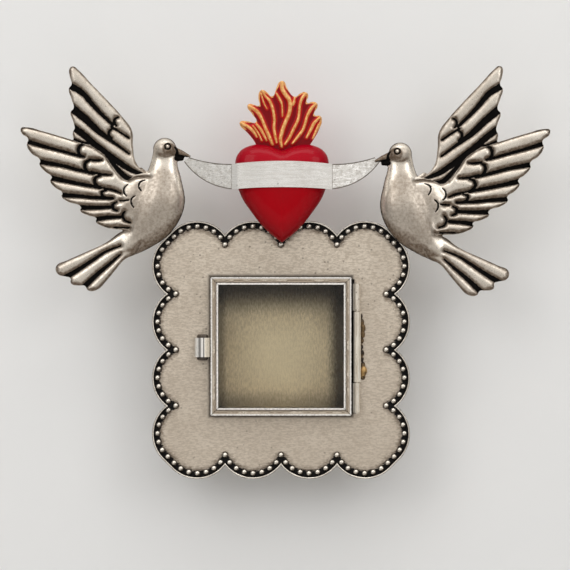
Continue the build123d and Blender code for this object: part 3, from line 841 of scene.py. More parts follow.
# How far a point of the ribbon lies from the arc through three points
def arcClearance(tree, across, height, points):
    (ax, az), (bx, bz), (cx, cz) = points
    scale = 2 * (ax * (bz - cz) + bx * (cz - az) + cx * (az - bz))
    first, second, third = [x * x + z * z for x, z in points]
    centreX = (first * (bz - cz) + second * (cz - az) + third * (az - bz)) / scale
    centreZ = (first * (cx - bx) + second * (ax - cx) + third * (bx - ax)) / scale
    radius = math.hypot(ax - centreX, az - centreZ)
    reach = diagonal(tree, minus(tree, across, centreX * mm), minus(tree, height, centreZ * mm))
    return unsigned(tree, minus(tree, reach, radius * mm))


# Brushed along its length, with painted shade over the left of the band and its left facet, a dark line at
# each crease and speckled tails with dark edges
def makeRibbonTin():
    parts = startTin("ribbonTin", ribbon)
    tree = parts["tree"]
    across = minus(tree, objectAxis(tree, "X"), heartTip.x)
    height = minus(tree, objectAxis(tree, "Z"), heartTip.z)
    out = unsigned(tree, across)
    tails = fade(tree, out, *ribbon["tails"])
    speckled = rangeNode(tree, tails, 0.0, 1.0, *ribbon["speckleShares"])
    speckles = times(tree, useGroup(tree, "stains", *ribbon["speckles"])[0], speckled)
    cover(parts, speckles, ribbon["speckle"], ribbon["speckleRougher"])
    # Painted shade over the left of the band and on its left facet
    addPatina(parts, across, **ribbon["leftShade"])
    addPatina(parts, across, **ribbon["facet"])
    addPatina(parts, out, **ribbon["fold"])
    clear = [arcClearance(tree, out, height, ribbon[edge]) for edge in ("tailTop", "tailBottom")]
    addPatina(parts, mathNode(tree, "MINIMUM", *clear), **ribbon["rim"], where=tails)
    return finishTin(parts, ribbon)


for names, material in (
    (["face_plate"], makePlateTin()),
    (["rim_lip"], makeLipTin()),
    (["bead_border"], makeBeadTin()),
    (["box_back", "box_wall_top", "box_wall_bottom", "box_wall_left", "box_wall_right", "hanger_tab"],
     makeInnerTin()),
    (["door_rail_top", "door_rail_bottom", "door_stile_left", "door_stile_right"], makeDoorTin()),
    (["hinge_knuckle_top", "hinge_knuckle_middle", "hinge_knuckle_bottom", "hinge_pin"], makeHingeTin()),
    (["latch_tab"], makeLatchTin()),
    (["latch_catch"], makeCatchTin()),
    (["ribbon"], makeRibbonTin()),
):
    dressNode(names, material)
print("tin made")


pewter = {
    "light": (0.90, 0.825, 0.72), "metallic": 0.9, "grainScale": 900.0, "rough": (0.24, 0.34),
    "marks": [("stains", (90.0, 0.5, 0.2), 0.38, (0.42, 0.34, 0.26)),
              ("stains", (420.0, 0.4, 0.1), 0.1, (0.25, 0.19, 0.14)),
              ("pits", (1100.0, 0.2, 0.08), 0.4, (0.07, 0.05, 0.04))],
    "flank": (0.16, 0.113, 0.078), "flankWave": 0.13, "patinaWave": 0.2, "patinaRange": (0.3, 0.62),
    "rougher": 0.3, "bump": (0.35, 0.1),
}


# Pewter with black in its grooves and brown on its lower flanks: the black is patina in the grooves and
# painted shade low on the sides, the brown mostly painted shade. The mesh carries both, as two attributes.
def makePewter():
    parts = startFinish("pewter", pewter, Metallic=pewter["metallic"])
    tree, fine = parts["tree"], parts["fine"]
    patinaAndShade, flank = readMask(tree, "patinaAndShade"), readMask(tree, "flank")
    addMarks(parts, pewter["marks"])
    # Brown painted shade, with a darker tone on the body and the bill
    wave = pewter["flankWave"]
    raggedShadeAndTone = plus(tree, flank, rangeNode(tree, fine, *grainMost, -wave, wave), clamp=True)
    cover(parts, raggedShadeAndTone, pewter["flank"], pewter["rougher"])
    worn = ragged(parts, patinaAndShade, pewter["patinaWave"])
    cover(parts, rangeNode(tree, worn, *pewter["patinaRange"]), black, pewter["rougher"])
    return finish(parts, fine, pewter["bump"])


castPewter = makePewter()


# Doves. Their outlines and grooves are drawn in millimetres, outwards and upwards from the seat on the rim.
dove = {
    "seat": (45.56, 44.06),
    "voxel": 0.3,
    "farTop": 2.1,
    "nearTop": 3.1,
    "tailTop": 2.3,
    "rim": 0.5,
    "grooveDepth": 0.8,
    "roundingReach": 2.1,
    "rounding": {"near": 1.6, "far": 1.1, "tail": 1.2},
    "farOutline": [
        (6, 20), (6.5, 24), (8.6, 25), (12.4, 29.4), (13.6, 36.1), (14, 42.2), (18, 47.8),
        (24.1, 54.5), (30.2, 60.8), (35.5, 66.4), (37.5, 67.8), (38.9, 67), (38.8, 63.7), (38.1, 60.4),
        (39.2, 59), (38.3, 55.1), (37.3, 50.9), (38.5, 49.6), (37.5, 45.9), (36.9, 42.8), (37.6, 41.6),
        (36.5, 37), (34, 33), (20, 22),
    ],
    "nearOutline": [
        (4, 23), (8.5, 23.6), (12.4, 23.3), (15.5, 22.1), (18, 23), (21.6, 27.5), (24.7, 32.1),
        (29, 35.2), (33.9, 37), (42.5, 39.8), (49.8, 41.9), (55.9, 43.4), (58.3, 43), (58, 41),
        (55.3, 38.7), (55.9, 36.4), (54.1, 33), (50.5, 30.1), (50.9, 28.7), (48.6, 25.7), (45.9, 23.4),
        (46.6, 22.1), (44.6, 19.3), (41.6, 17), (42.1, 16), (39.7, 13.8), (34.2, 11.3), (34.7, 10.3),
        (31.4, 8.2), (28, 6.8), (28.5, 6), (25.9, 4), (20.4, 2.7), (14, 3), (6, 6),
    ],
    "tailOutline": [
        (8, 3), (18, 1.8), (24.1, -2.5), (33.3, -6.8), (40, -9.8), (44.2, -12), (43.8, -15),
        (39.9, -16.3), (38.6, -16.7), (38.3, -19), (34.7, -19.8), (32.9, -19.8), (31.4, -21.8),
        (27.8, -21.4), (24.1, -17.8), (21, -14.1), (16.7, -9.2), (12, -6.8),
    ],
    # Grooves of the far wing: three wide ones from the tips to the shoulder, and the lines under the
    # coverts
    "farGrooves": [
        [(39.8, 60.6, 1.3), (33.9, 57.2, 1.05), (30.2, 53, 0.9), (26.5, 49, 0.7), (21.6, 44.4, 0.55)],
        [(39.6, 52.4, 1.6), (32.7, 46.8, 1.3), (27.8, 42.2, 1.1), (23.5, 38.9, 0.8), (19.2, 35.8, 0.5),
         (15.2, 32.9, 0.4)],
        [(38.4, 44.1, 1.2), (33.3, 40.4, 1.2), (29, 36.7, 1.15), (24.1, 33, 1.1), (19.2, 29.4, 1.1),
         (14.3, 26.3, 0.9), (9, 24.4, 0.5)],
        [(37.8, 38.8, 0.5), (34, 37.4, 0.4), (30.4, 36.9, 0.4)],
        [(24.6, 32.4, 0.5), (20.4, 27.5, 0.8), (16.1, 23.3, 0.9), (12.4, 22.9, 0.5)],
        [(22.2, 43.6, 0.45), (18.6, 41.4, 0.4), (15.2, 39.1, 0.4)],
        [(19.4, 47.4, 0.3), (20.6, 46.9, 0.45), (21.1, 45.6, 0.5), (20.3, 44, 0.4)],
        [(21.6, 42.8, 0.35), (23, 41.9, 0.5), (23.2, 40.3, 0.5), (22, 38.9, 0.4)],
    ],
    "nearGrooves": [
        [(56.2, 37.9, 0.85), (48.6, 35.6, 0.6), (42.5, 34, 0.5), (34.5, 31.8, 0.5)],
        [(51.4, 29.7, 0.9), (42.5, 28.2, 0.65), (36.3, 26.6, 0.6), (29, 24.8, 0.5)],
        [(46.9, 23.3, 0.95), (39.4, 21.7, 0.7), (33.3, 20.5, 0.65), (26.5, 19.3, 0.6)],
        [(42.6, 16.3, 0.9), (35.1, 15.9, 0.65), (29, 15.3, 0.6), (21.6, 15, 0.5)],
        [(34.9, 11.3, 0.9), (27.8, 11.3, 0.7), (21.6, 11.6, 0.6)],
        [(28.7, 6.6, 0.85), (24.1, 7.3, 0.7), (18.6, 7.6, 0.55)],
        [(32.1, 36.9, 0.3), (34.5, 36.1, 0.55), (35.4, 34.3, 0.6), (34.8, 32.4, 0.55), (33, 31.5, 0.4)],
        [(30.8, 30.3, 0.35), (32.5, 29.2, 0.55), (32.7, 27.2, 0.6), (31.4, 25.4, 0.4)],
        [(26.5, 24, 0.35), (28.4, 23.3, 0.55), (28.9, 21.4, 0.55), (27.5, 19.9, 0.4)],
        [(24.1, 18.3, 0.3), (25.9, 17.6, 0.5), (25.6, 15.9, 0.5), (23.5, 15, 0.4)],
        [(20.1, 13.5, 0.3), (21.6, 12.5, 0.5), (21.3, 10.7, 0.5), (19.8, 10.1, 0.35)],
        [(16.7, 9.8, 0.3), (17.7, 8.2, 0.45), (16.7, 6.1, 0.4), (14.6, 5.4, 0.3)],
        [(31.2, 30.5, 0.3), (28.4, 30.2, 0.45), (25.9, 30.3, 0.25)],
        [(30.2, 25.7, 0.3), (26.2, 24.6, 0.45), (22.3, 24.4, 0.25)],
        [(26, 19.3, 0.3), (21.2, 18.2, 0.45), (18.4, 17.1, 0.25)],
        [(18.6, 14.1, 0.3), (16.7, 14.1, 0.4), (14.9, 14.3, 0.25)],
        [(15.2, 3.3, 0.35), (18.6, 3.4, 0.3), (21.4, 3.2, 0.25)],
    ],
    "tailGrooves": [
        [(40.6, -16.6, 1), (34.5, -12.9, 0.75), (29, -9.2, 0.6), (24.1, -6.1, 0.45), (18.6, -4, 0.3)],
        [(33.4, -20.6, 1.05), (27.8, -15.3, 0.8), (23.5, -11.7, 0.6), (18.6, -7.4, 0.35)],
    ],
    "bodyGrooves": [
        [(8.5, 22.3, 0.25), (10.6, 21.4, 0.38), (11.1, 19.6, 0.38), (10.1, 17.9, 0.25)],
        [(15.6, 20.5, 0.25), (17, 19, 0.38), (17, 17.1, 0.38), (16, 15.9, 0.25)],
        [(12.5, 16, 0.25), (14, 14.7, 0.38), (14, 12.8, 0.38), (13.1, 11.3, 0.25)],
    ],
    "bodySpine": [
        (0.9, 36.2), (0.8, 34.2), (1.2, 28.6), (1.7, 21.8), (2.9, 14), (6.5, 6.2), (11.7, -0.2),
        (17.2, -4.8), (21, -7.4),
    ],
    "bodyRadii": [3.6, 4.7, 5.5, 7.9, 10.2, 9.4, 6.6, 4.2, 2.6],
    "bodyDepth": 0.64,
    "shoulder": [(6.5, 24.5), (11.0, 18.5), (14.0, 12.0), (14.5, 6.0)],
    "shoulderRadii": [5.0, 7.6, 7.6, 5.0],
    "shoulderDepth": 0.56,
    "seam": [(5.2, 31.0, 1.0), (8.0, 24.5, 3.0), (12.6, 16.5, 4.0), (16.2, 8.5, 3.6), (19.0, 1.5, 2.4)],
    "seamReach": 4.0,
    "seamTurns": 140,
    "meltTurns": 9,
    "headCentre": (0.9, 34.6),
    "headRadius": 4.75,
    "eye": (-0.42, 35.6),
    "eyeBall": 0.62,
    "eyeRing": 1.15,
    "upperBill": [(-0.8, 34.6), (-3.2, 33.8), (-6.0, 33.0), (-9.4, 31.7)],
    "upperBillRadii": [2.2, 1.75, 1.25, 0.5],
    "lowerBill": [(-0.6, 32.6), (-3.6, 31.4), (-6.8, 30.7)],
    "lowerBillRadii": [1.9, 1.6, 0.6],
    "billLines": [
        [(-3.6, 32.3, 0.5), (-5.4, 32, 0.55), (-8.4, 31.4, 0.4)],
        [(-3.9, 31, 1), (-6.6, 30.6, 0.8)],
        [(-3.2, 35.4, 0.3), (-4, 34.2, 0.5), (-4.1, 32.8, 0.6)],
    ],
    "headFaces": (32, 20), "eyeFaces": (20, 12),
    "billDepths": (1.35, 1.3), "headDepth": 0.96, "eyeSink": 0.1,
    "ringWidth": 0.3, "edgeWidth": 0.05, "lineDepth": 0.35,
    # Where marks start and end. Slopes are parts of a normal, levels are millimetres above the near wing,
    # reaches are millimetres from a line, and the others are distances over a groove's half width.
    "frontSlope": (0.15, 0.6), "sideSlope": (0.12, 0.6), "backSlope": (0.3, 0.8),
    "downSlope": (0.04, 0.42), "awaySlope": (0.3, 0.75),
    "farLevels": (-0.35, -0.6), "bodyLevels": (0.1, 1.0), "lowLevels": (0.6, -0.4),
    "pressed": (0.65, 1.4), "sooty": (0.85, 1.3), "linePressed": (0.55, 1.35), "lineSooty": (0.75, 1.2),
    "edgeReach": (0.05, 0.85), "billReach": (0.2, 0.6),
    # How dark each mark is at most
    "shares": {"edge": 0.72, "side": 0.8, "down": 0.9, "spared": 0.1, "away": 0.8, "bill": 0.93,
               "body": 0.52},
}


def addBall(radius, place, segments, rings):
    clearSelection()
    bpy.ops.mesh.primitive_uv_sphere_add(
        segments=segments, ring_count=rings, radius=radius * mm, location=place)
    return bpy.context.object


def makeDove(name, node, side, bodyShift, wingShift, wingLean, wingStretch, tailShift):
    seatX, seatZ = dove["seat"]

    def place(point, shift):
        return (side * (seatX + point[0] + shift[0]) * mm, (seatZ + point[1] + shift[1]) * mm)

    def placeWing(point):
        return place((point[0] + wingLean * point[1], point[1] * wingStretch), wingShift)

    def placeTail(point):
        return place(point, tailShift)

    def placeBody(point):
        return place(point, bodyShift)

    def placeLines(lines, placer):
        return [[(*placer(point[:2]), point[2] * mm) for point in softLine(line)] for line in lines]

    def slab(outline, placer, top):
        return makeSlab([placer(p) for p in outline], rimFront, top * mm, dove["rim"] * mm)

    def bar(points, radii, depthShare):
        line = softLine([(*point, radius) for point, radius in zip(points, radii)])
        piece = makeBar([placeBody(p[:2]) for p in line], [p[2] * mm for p in line], depthShare, rimFront)
        cutBehind(piece, rimFront)
        return piece

    parts = [
        slab(dove["farOutline"], placeWing, dove["farTop"]),
        slab(dove["nearOutline"], placeWing, dove["nearTop"]),
        slab(dove["tailOutline"], placeTail, dove["tailTop"]),
        bar(dove["bodySpine"], dove["bodyRadii"], dove["bodyDepth"]),
        bar(dove["shoulder"], dove["shoulderRadii"], dove["shoulderDepth"]),
        bar(dove["upperBill"], dove["upperBillRadii"], dove["billDepths"][0]),
        bar(dove["lowerBill"], dove["lowerBillRadii"], dove["billDepths"][1]),
    ]
    headX, headZ = placeBody(dove["headCentre"])
    head = addBall(dove["headRadius"], (headX, rimFront, headZ), *dove["headFaces"])
    head.scale.y = dove["headDepth"]
    freeze(head)
    cutBehind(head, rimFront)
    parts.append(head)
    bird = joinPieces(parts, name)
    voxelMerge(bird, dove["voxel"] * mm, dove["meltTurns"])
    meltNear(bird, placeLines([dove["seam"]], placeBody), dove["seamReach"] * mm, dove["seamTurns"])

    # Grooves are pressed in from the front, and what lies between them is rounded off towards them
    places, normals = vertexArrays(bird)
    flat = places[:, [0, 2]].astype(float)
    front = smoothStep(*dove["frontSlope"], -normals[:, 1])
    height = rimFront - places[:, 1]
    onFar, onBody, low = [
        smoothStep(*[(dove["nearTop"] + level) * mm for level in dove[levels]], height)
        for levels in ("farLevels", "bodyLevels", "lowLevels")
    ]
    eyeX, eyeZ = placeBody(dove["eye"])
    ring = [
        (eyeX + dove["eyeRing"] * mm * math.cos(turn), eyeZ + dove["eyeRing"] * mm * math.sin(turn),
         dove["ringWidth"] * mm)
        for turn in [i * math.pi / 10 for i in range(21)]
    ]
    depth, soot, flank = np.zeros(len(flat)), np.zeros(len(flat)), np.zeros(len(flat))
    shares = dove["shares"]
    for region, placer, weight in (("near", placeWing, 1 - onFar), ("far", placeWing, onFar),
                                   ("tail", placeTail, np.ones(len(flat)))):
        clear, share = lineField(flat, placeLines(dove[region + "Grooves"], placer))
        pressed = (1 - smoothStep(*dove["pressed"], share)) * weight
        soot = np.maximum(soot, (1 - smoothStep(*dove["sooty"], share)) * weight)
        outline = dove[region + "Outline"]
        edge = [(*placer(point), dove["edgeWidth"] * mm) for point in [*outline, outline[0]]]
        edgeClear, _ = lineField(flat, [edge])
        near = np.clip(np.minimum(clear, edgeClear) / (dove["roundingReach"] * mm), 0, 1)
        rounded = (1 - np.sqrt(1 - (1 - near) ** 2)) * dove["rounding"][region] * weight * (1 - onBody)
        depth = np.maximum(depth, np.maximum(rounded, pressed * dove["grooveDepth"]) * mm)
        # Brown painted shade near the feathers' edges and grooves
        byEdge = (1 - smoothStep(*dove["edgeReach"], near)) * shares["edge"] * weight * (1 - onBody)
        flank = np.maximum(flank, byEdge)
    lines = placeLines(dove["bodyGrooves"], placeWing) + placeLines(dove["billLines"], placeBody) + [ring]
    _, share = lineField(flat, lines)
    depth = np.maximum(depth, (1 - smoothStep(*dove["linePressed"], share)) * dove["lineDepth"] * mm)
    soot = np.maximum(soot, 1 - smoothStep(*dove["lineSooty"], share))
    places[:, 1] += depth * front
    keepWithin(places)
    setPlaces(bird, places)
    addMelt(bird, 1)
    applyAll(bird)

    # Black stays in the grooves as patina and is painted low on the sides as shade; brown is painted shade
    # under the body, on sideways slopes and by the feathers' edges, and a darker tone on the bill and the
    # body
    _, normals = vertexArrays(bird)
    sides = 1 - smoothStep(*dove["sideSlope"], -normals[:, 1])
    facingFront = 1 - smoothStep(*dove["backSlope"], normals[:, 1])
    # Black patina in the grooves, and black painted shade low on the sides
    setMask(bird, "patinaAndShade", np.maximum(soot * front, sides * low * shares["side"] * facingFront))
    # Painted shade in brown where the surface turns down or away from the front
    turnedDown = smoothStep(*dove["downSlope"], -normals[:, 2]) * shares["down"]
    turnedDown *= 1 - onBody * shares["spared"]
    turnedAway = (1 - smoothStep(*dove["awaySlope"], -normals[:, 1])) * shares["away"]
    billPoints = zip(dove["upperBill"], dove["upperBillRadii"])
    bill = [(*placeBody(point), radius * mm) for point, radius in billPoints]
    billClear, _ = lineField(flat, [bill])
    onBill = (1 - smoothStep(*[reach * mm for reach in dove["billReach"]], billClear)) * shares["bill"]
    flank = np.maximum.reduce([flank, turnedDown, turnedAway, onBill, onBody * shares["body"]])
    setMask(bird, "flank", flank * facingFront)

    fromCentre = math.dist(dove["eye"], dove["headCentre"])
    eyeDepth = math.sqrt(dove["headRadius"] ** 2 - fromCentre ** 2) * dove["headDepth"] - dove["eyeSink"]
    ball = addBall(dove["eyeBall"], (eyeX, rimFront - eyeDepth * mm, eyeZ), *dove["eyeFaces"])
    freeze(ball)
    bird = joinPieces([bird, ball], name)
    bird.data.materials.append(castPewter)
    shadeSmooth(bird)
    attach(bird, "case")
    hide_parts(node)
    print(name, "has", len(bird.data.polygons), "faces")


makeDove("doveLeft", "dove_left", -1, (0, 0), (0, 0), 0, 1, (0, 0))
makeDove("doveRight", "dove_right", 1, (1.2, -1.9), (2.7, -2.2), 0.02, 1.035, (1.1, -2.0))


# Heart, flames and ribbon are drawn in millimetres to the right of the heart's centre line and up from its
# tip
def heartPlace(point):
    return (heartTip.x + point[0] * mm, heartTip.z + point[1] * mm)


heart = {
    "side": [
        (7.2, 39.2), (13.4, 38.7), (17.5, 35.8), (18.8, 31.4), (17.2, 20.6), (11.8, 11.6), (5.4, 4.2),
    ],
    "cleft": (0.0, 36.9),
    "middle": 25.0,
    # Each ring's height above the rim and its share of the outline
    "rings": [
        (0, 0.955), (0.5, 0.985), (1.4, 1), (2.8, 0.99), (4.4, 0.945), (5.9, 0.86), (7.1, 0.74),
        (7.9, 0.58), (8.35, 0.4), (8.55, 0.2),
    ],
    "top": 0.02,
    "roundings": 2,
}


def makeHeart():
    rightSide = heart["side"]
    leftSide = [(-x, z) for x, z in reversed(rightSide)]
    outline = [heart["cleft"], *rightSide, (0, 0), *leftSide]
    obj = drawCurve([heartPlace(p) for p in outline], closed=True)
    for point in obj.data.splines[0].bezier_points:
        if abs(point.co.x - heartTip.x) < weldReach * mm:
            point.handle_left_type = point.handle_right_type = "VECTOR"
    obj.data.resolution_u = divisions["heart"]
    obj = toMesh(obj)
    obj.name = "heartPillow"
    activate(obj)
    bpy.ops.object.mode_set(mode="EDIT")
    bpy.ops.mesh.select_all(action="SELECT")
    centre = (heartTip.x, rimFront, heartTip.z + heart["middle"] * mm)
    bpy.ops.transform.translate(value=(0, rimFront, 0))
    lastDepth, lastScale = heart["rings"][0]
    bpy.ops.transform.resize(value=(lastScale, 1, lastScale), center_override=centre)
    for depth, scale in heart["rings"][1:]:
        bpy.ops.mesh.extrude_edges_move(TRANSFORM_OT_translate={"value": (0, (lastDepth - depth) * mm, 0)})
        ratio = scale / lastScale
        bpy.ops.transform.resize(value=(ratio, 1, ratio), center_override=centre)
        lastDepth, lastScale = depth, scale
    bpy.ops.mesh.extrude_edges_move(TRANSFORM_OT_translate={"value": (0, -heart["top"] * mm, 0)})
    bpy.ops.mesh.merge(type="CENTER")
    bpy.ops.mesh.select_all(action="DESELECT")
    bpy.ops.mesh.select_mode(type="EDGE")
    bpy.ops.mesh.select_non_manifold()
    bpy.ops.mesh.edge_face_add()
    bpy.ops.mesh.select_all(action="SELECT")
    bpy.ops.mesh.normals_make_consistent(inside=False)
    bpy.ops.object.mode_set(mode="OBJECT")
    smooth = obj.modifiers.new("round", "SUBSURF")
    smooth.levels = smooth.render_levels = heart["roundings"]
    applyAll(obj)
    shadeSmooth(obj)
    return obj


redEnamel = {
    "light": (0.385, 0.0, 0.005), "grainScale": 420.0, "rough": (0.26, 0.36), "bump": (0.12, 0.2),
    "broad": [("stains", (70.0, 0.5, 0.25), 0.5, (0.27, 0.0, 0.003))],
    "sides": {"limits": (-8.2, -3.0, 0.0, 0.72), "tone": (0.16, 0.0, 0.002), "rougher": 0.0},
    "crown": {"limits": (27.0, 34.0, 0.0, 0.4), "tone": (0.42, 0.0, 0.018), "rougher": 0.0},
    "pits": [("pits", (300.0, 0.12, 0.06), 0.7, (0.08, 0.0, 0.003))],
}


# Painted shade darker down its sides and a painted highlight brighter at its crown
def makeRedEnamel():
    parts = startFinish(
        "redEnamel", redEnamel, Metallic=0.0, Coat_Weight=0.2, Coat_Roughness=0.07, Specular_IOR_Level=0.03)
    tree = parts["tree"]
    addMarks(parts, redEnamel["broad"])
    # Painted shade down the sides
    addPatina(parts, minus(tree, objectAxis(tree, "Y"), rimFront), **redEnamel["sides"])
    # Painted highlight on the crown
    addPatina(parts, minus(tree, objectAxis(tree, "Z"), heartTip.z), **redEnamel["crown"])
    addMarks(parts, redEnamel["pits"])
    return finish(parts, parts["fine"], redEnamel["bump"])


heartPillow = makeHeart()
heartPillow.data.materials.append(makeRedEnamel())
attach(heartPillow, "case")
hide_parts("heart")
print("heart made")

# Flames: one crown-shaped slab with raised, gilded ridges
flames = {
    "outline": [
        (-8, 34), (-10.8, 40.2), (-13.6, 43.8), (-17, 47.7), (-16.6, 48.5), (-13.8, 48.6),
        (-10.4, 48.3), (-11.9, 51.5), (-13.9, 54.6), (-13.2, 55.5), (-11.4, 55.3), (-9.1, 54.9),
        (-9.4, 57.4), (-9, 60.4),
        (-7.9, 61.2), (-5.8, 60), (-4, 58.5), (-2.3, 61.8), (-0.8, 64.5), (0.7, 64.6), (2, 61.9),
        (5.2, 58.4), (7.4, 59.8), (9.3, 60.3), (10.5, 59.2), (10, 55.9), (11.9, 56.3), (13.8, 56),
        (14.3, 54.8), (12.9, 51.1), (15.3, 50.7), (15.9, 49.7), (14.5, 44.6), (11.6, 39.8), (8, 34),
    ],
    "thickness": 2.2,
    "rim": 0.5,
    "voxel": 0.2,
    "meltTurns": 3,
    "ridgeHeight": 0.85,
    "hollowDepth": 0.35,
    "frontSlope": (0.3, 0.8),
    # Shares of a ridge's half width, and reaches from a line or heights above the tip in millimetres
    "raised": (0.5, 1.7), "gilded": (0.95, 1.4),
    "hollowReach": (0.1, 0.9), "shadeReach": (0.15, 0.9), "rimReach": (0.35, 0.7),
    "rimHeights": (43.5, 46.0), "rimShare": 0.75,
    "ridges": [
        [(-16.7, 47.9, 0.35), (-14.9, 47.1, 0.55), (-12.9, 45.9, 0.55), (-11.3, 44.3, 0.5),
         (-10, 42.2, 0.3)],
        [(-11.6, 46.7, 0.25), (-9.8, 44.3, 0.3), (-8, 40.8, 0.25)],
        [(-10.1, 47.2, 0.45), (-8.5, 45.3, 0.5), (-7.2, 43, 0.45), (-6.2, 40.9, 0.3)],
        [(-13.5, 54.7, 0.4), (-11.3, 53.5, 0.6), (-9.3, 51.7, 0.6), (-7.8, 48.9, 0.55), (-6.5, 45.6, 0.55),
         (-4.9, 42, 0.6), (-3.8, 39.3, 0.45)],
        [(-7.8, 60.8, 0.5), (-6.7, 58.6, 0.4), (-4.9, 56.6, 0.5), (-3.7, 53.5, 0.5), (-3, 49.4, 0.5),
         (-3.2, 46.4, 0.5), (-2.8, 43.1, 0.5), (-2.1, 40, 0.35)],
        [(-8.3, 59.6, 0.25), (-7.2, 55.8, 0.25), (-6, 53.5, 0.2)],
        [(-2.2, 59.6, 0.3), (-0.9, 57.3, 0.45), (0, 55, 0.35), (0.2, 50.5, 0.25)],
        [(0.1, 64, 0.6), (0.1, 61.7, 0.7), (1.2, 59.4, 0.7), (2.9, 57.1, 0.7), (3.3, 54.5, 0.7),
         (2.8, 51.5, 0.65), (1.7, 48.9, 0.65), (0.7, 46.4, 0.65), (-0.1, 43.8, 0.65), (-0.6, 41.3, 0.6),
         (-0.1, 38.4, 0.45)],
        [(5, 57.6, 0.35), (4.8, 56.2, 0.5), (4.5, 55, 0.3)],
        [(9.5, 59.5, 0.6), (8.1, 57.9, 0.5), (7.2, 55.3, 0.5), (6.9, 52.2, 0.45), (6.3, 48.9, 0.5),
         (4.7, 45.6, 0.5), (3, 42, 0.5), (1.2, 39.3, 0.4)],
        [(13.6, 55.6, 0.4), (11.6, 53.5, 0.55), (10.1, 50.7, 0.5), (9.3, 47.9, 0.5), (8.3, 45.1, 0.5),
         (6.3, 42.3, 0.5), (4.2, 39.7, 0.35)],
        [(15.3, 50.3, 0.35), (12.9, 47.9, 0.55), (11.6, 45.4, 0.55), (9.8, 42, 0.35)],
        [(14.6, 47.2, 0.3), (13.2, 43.8, 0.4), (12.2, 41.6, 0.3)],
    ],
}


def makeFlames():
    def reach(name, distances):
        return smoothStep(*[limit * mm for limit in flames[name]], distances)

    obj = makeSlab([heartPlace(p) for p in flames["outline"]], rimFront, flames["thickness"] * mm,
                   flames["rim"] * mm)
    obj.name = "flameCrown"
    voxelMerge(obj, flames["voxel"] * mm, flames["meltTurns"])
    places, normals = vertexArrays(obj)
    flat = places[:, [0, 2]].astype(float)
    front = smoothStep(*flames["frontSlope"], -normals[:, 1])
    lines = [[(*heartPlace(p[:2]), p[2] * mm) for p in softLine(line)] for line in flames["ridges"]]
    clear, share = lineField(flat, lines)
    raised = (1 - smoothStep(*flames["raised"], share)) * flames["ridgeHeight"]
    hollow = reach("hollowReach", clear) * flames["hollowDepth"]
    places[:, 1] -= (raised - hollow) * mm * front
    keepWithin(places)
    setPlaces(obj, places)
    addMelt(obj, 1)
    applyAll(obj)
    edge = [(*heartPlace(point), dove["edgeWidth"] * mm) for point in flames["outline"]]
    edgeClear, _ = lineField(flat, [edge])
    tips = reach("rimHeights", flat[:, 1] - heartTip.z) * flames["rimShare"]
    rimmed = (1 - reach("rimReach", edgeClear)) * tips
    setMask(obj, "gilding", np.maximum((1 - smoothStep(*flames["gilded"], share)) * front, rimmed))
    # Painted shade in the hollows between the ridges
    setMask(obj, "patinaAndShade", reach("shadeReach", clear) * front)
    shadeSmooth(obj)
    return obj


flameEnamel = {
    "light": (0.58, 0.012, 0.014), "dark": (0.20, 0.001, 0.004), "gilt": (0.93, 0.55, 0.22),
    "copper": (0.62, 0.25, 0.06), "grainScale": 1000.0, "rough": (0.28, 0.42), "bump": (0.35, 0.1),
    "wave": 0.35, "goldRange": (0.35, 0.65), "goldMetallic": 0.4,
}


# Red enamel, darker between the ridges as painted shade, with worn gilding on them
def makeFlameEnamel():
    parts = startFinish(
        "flameEnamel", flameEnamel, Coat_Weight=0.06, Coat_Roughness=0.2, Specular_IOR_Level=0.15)
    tree, fine = parts["tree"], parts["fine"]
    worn = ragged(parts, readMask(tree, "gilding"), flameEnamel["wave"])
    gold = rangeNode(tree, worn, *flameEnamel["goldRange"])
    gilt = mixColours(tree, rangeNode(tree, fine, *grainMost), flameEnamel["gilt"], flameEnamel["copper"])
    cover(parts, readMask(tree, "patinaAndShade"), flameEnamel["dark"])
    cover(parts, gold, gilt)
    link(tree, times(tree, gold, flameEnamel["goldMetallic"]), parts["shader"].inputs["Metallic"])
    return finish(parts, fine, flameEnamel["bump"])


flameCrown = makeFlames()
flameCrown.data.materials.append(makeFlameEnamel())
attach(flameCrown, "case")
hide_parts("flame_crown")
print("flames made")


glass = {"smears": (40.0, 0.35, 0.25), "smearRough": (0.0, 0.05), "tone": (0.97, 0.985, 0.975, 1)}


def makeGlass():
    material, tree, shader = newMaterial(
        "clearGlass", Transmission_Weight=1.0, IOR=1.3, Metallic=0.0, Specular_IOR_Level=0.3,
        Base_Color=glass["tone"])
    link(tree, stains(tree, glass["smears"], *glass["smearRough"]), shader.inputs["Roughness"])
    return material


dressNode(["glass_pane"], makeGlass())


# Lumps of solder down the right side of the middle knuckle, as x, z and radius in millimetres
solder = {
    "lumps": [
        (32.1, 12, 0.7), (32.4, 9.6, 0.95), (32.8, 7.2, 1.15), (32.7, 4.7, 1.05), (32.4, 2.2, 0.85),
        (32.3, -0.3, 0.75), (32.5, -2.8, 0.9), (32.4, -5.2, 0.8), (32.8, -7.6, 1), (33.1, -9.9, 1.4),
        (32.8, -12, 1.1),
    ],
    "sink": 0.1,
    "height": 1.5,
    "voxel": 0.16,
    "meltTurns": 2,
    "light": (0.16, 0.10, 0.045),
    "amber": {"limits": (-12.5, -8.2, 0.6), "tone": (0.50, 0.31, 0.12), "rougher": 0.0},
    "marks": [("stains", (330.0, 0.5, 0.1), 1.0, (0.022, 0.014, 0.01))],
    "grainScale": 1400.0,
    "rough": (0.25, 0.5),
    "bump": (0.6, 0.3),
}


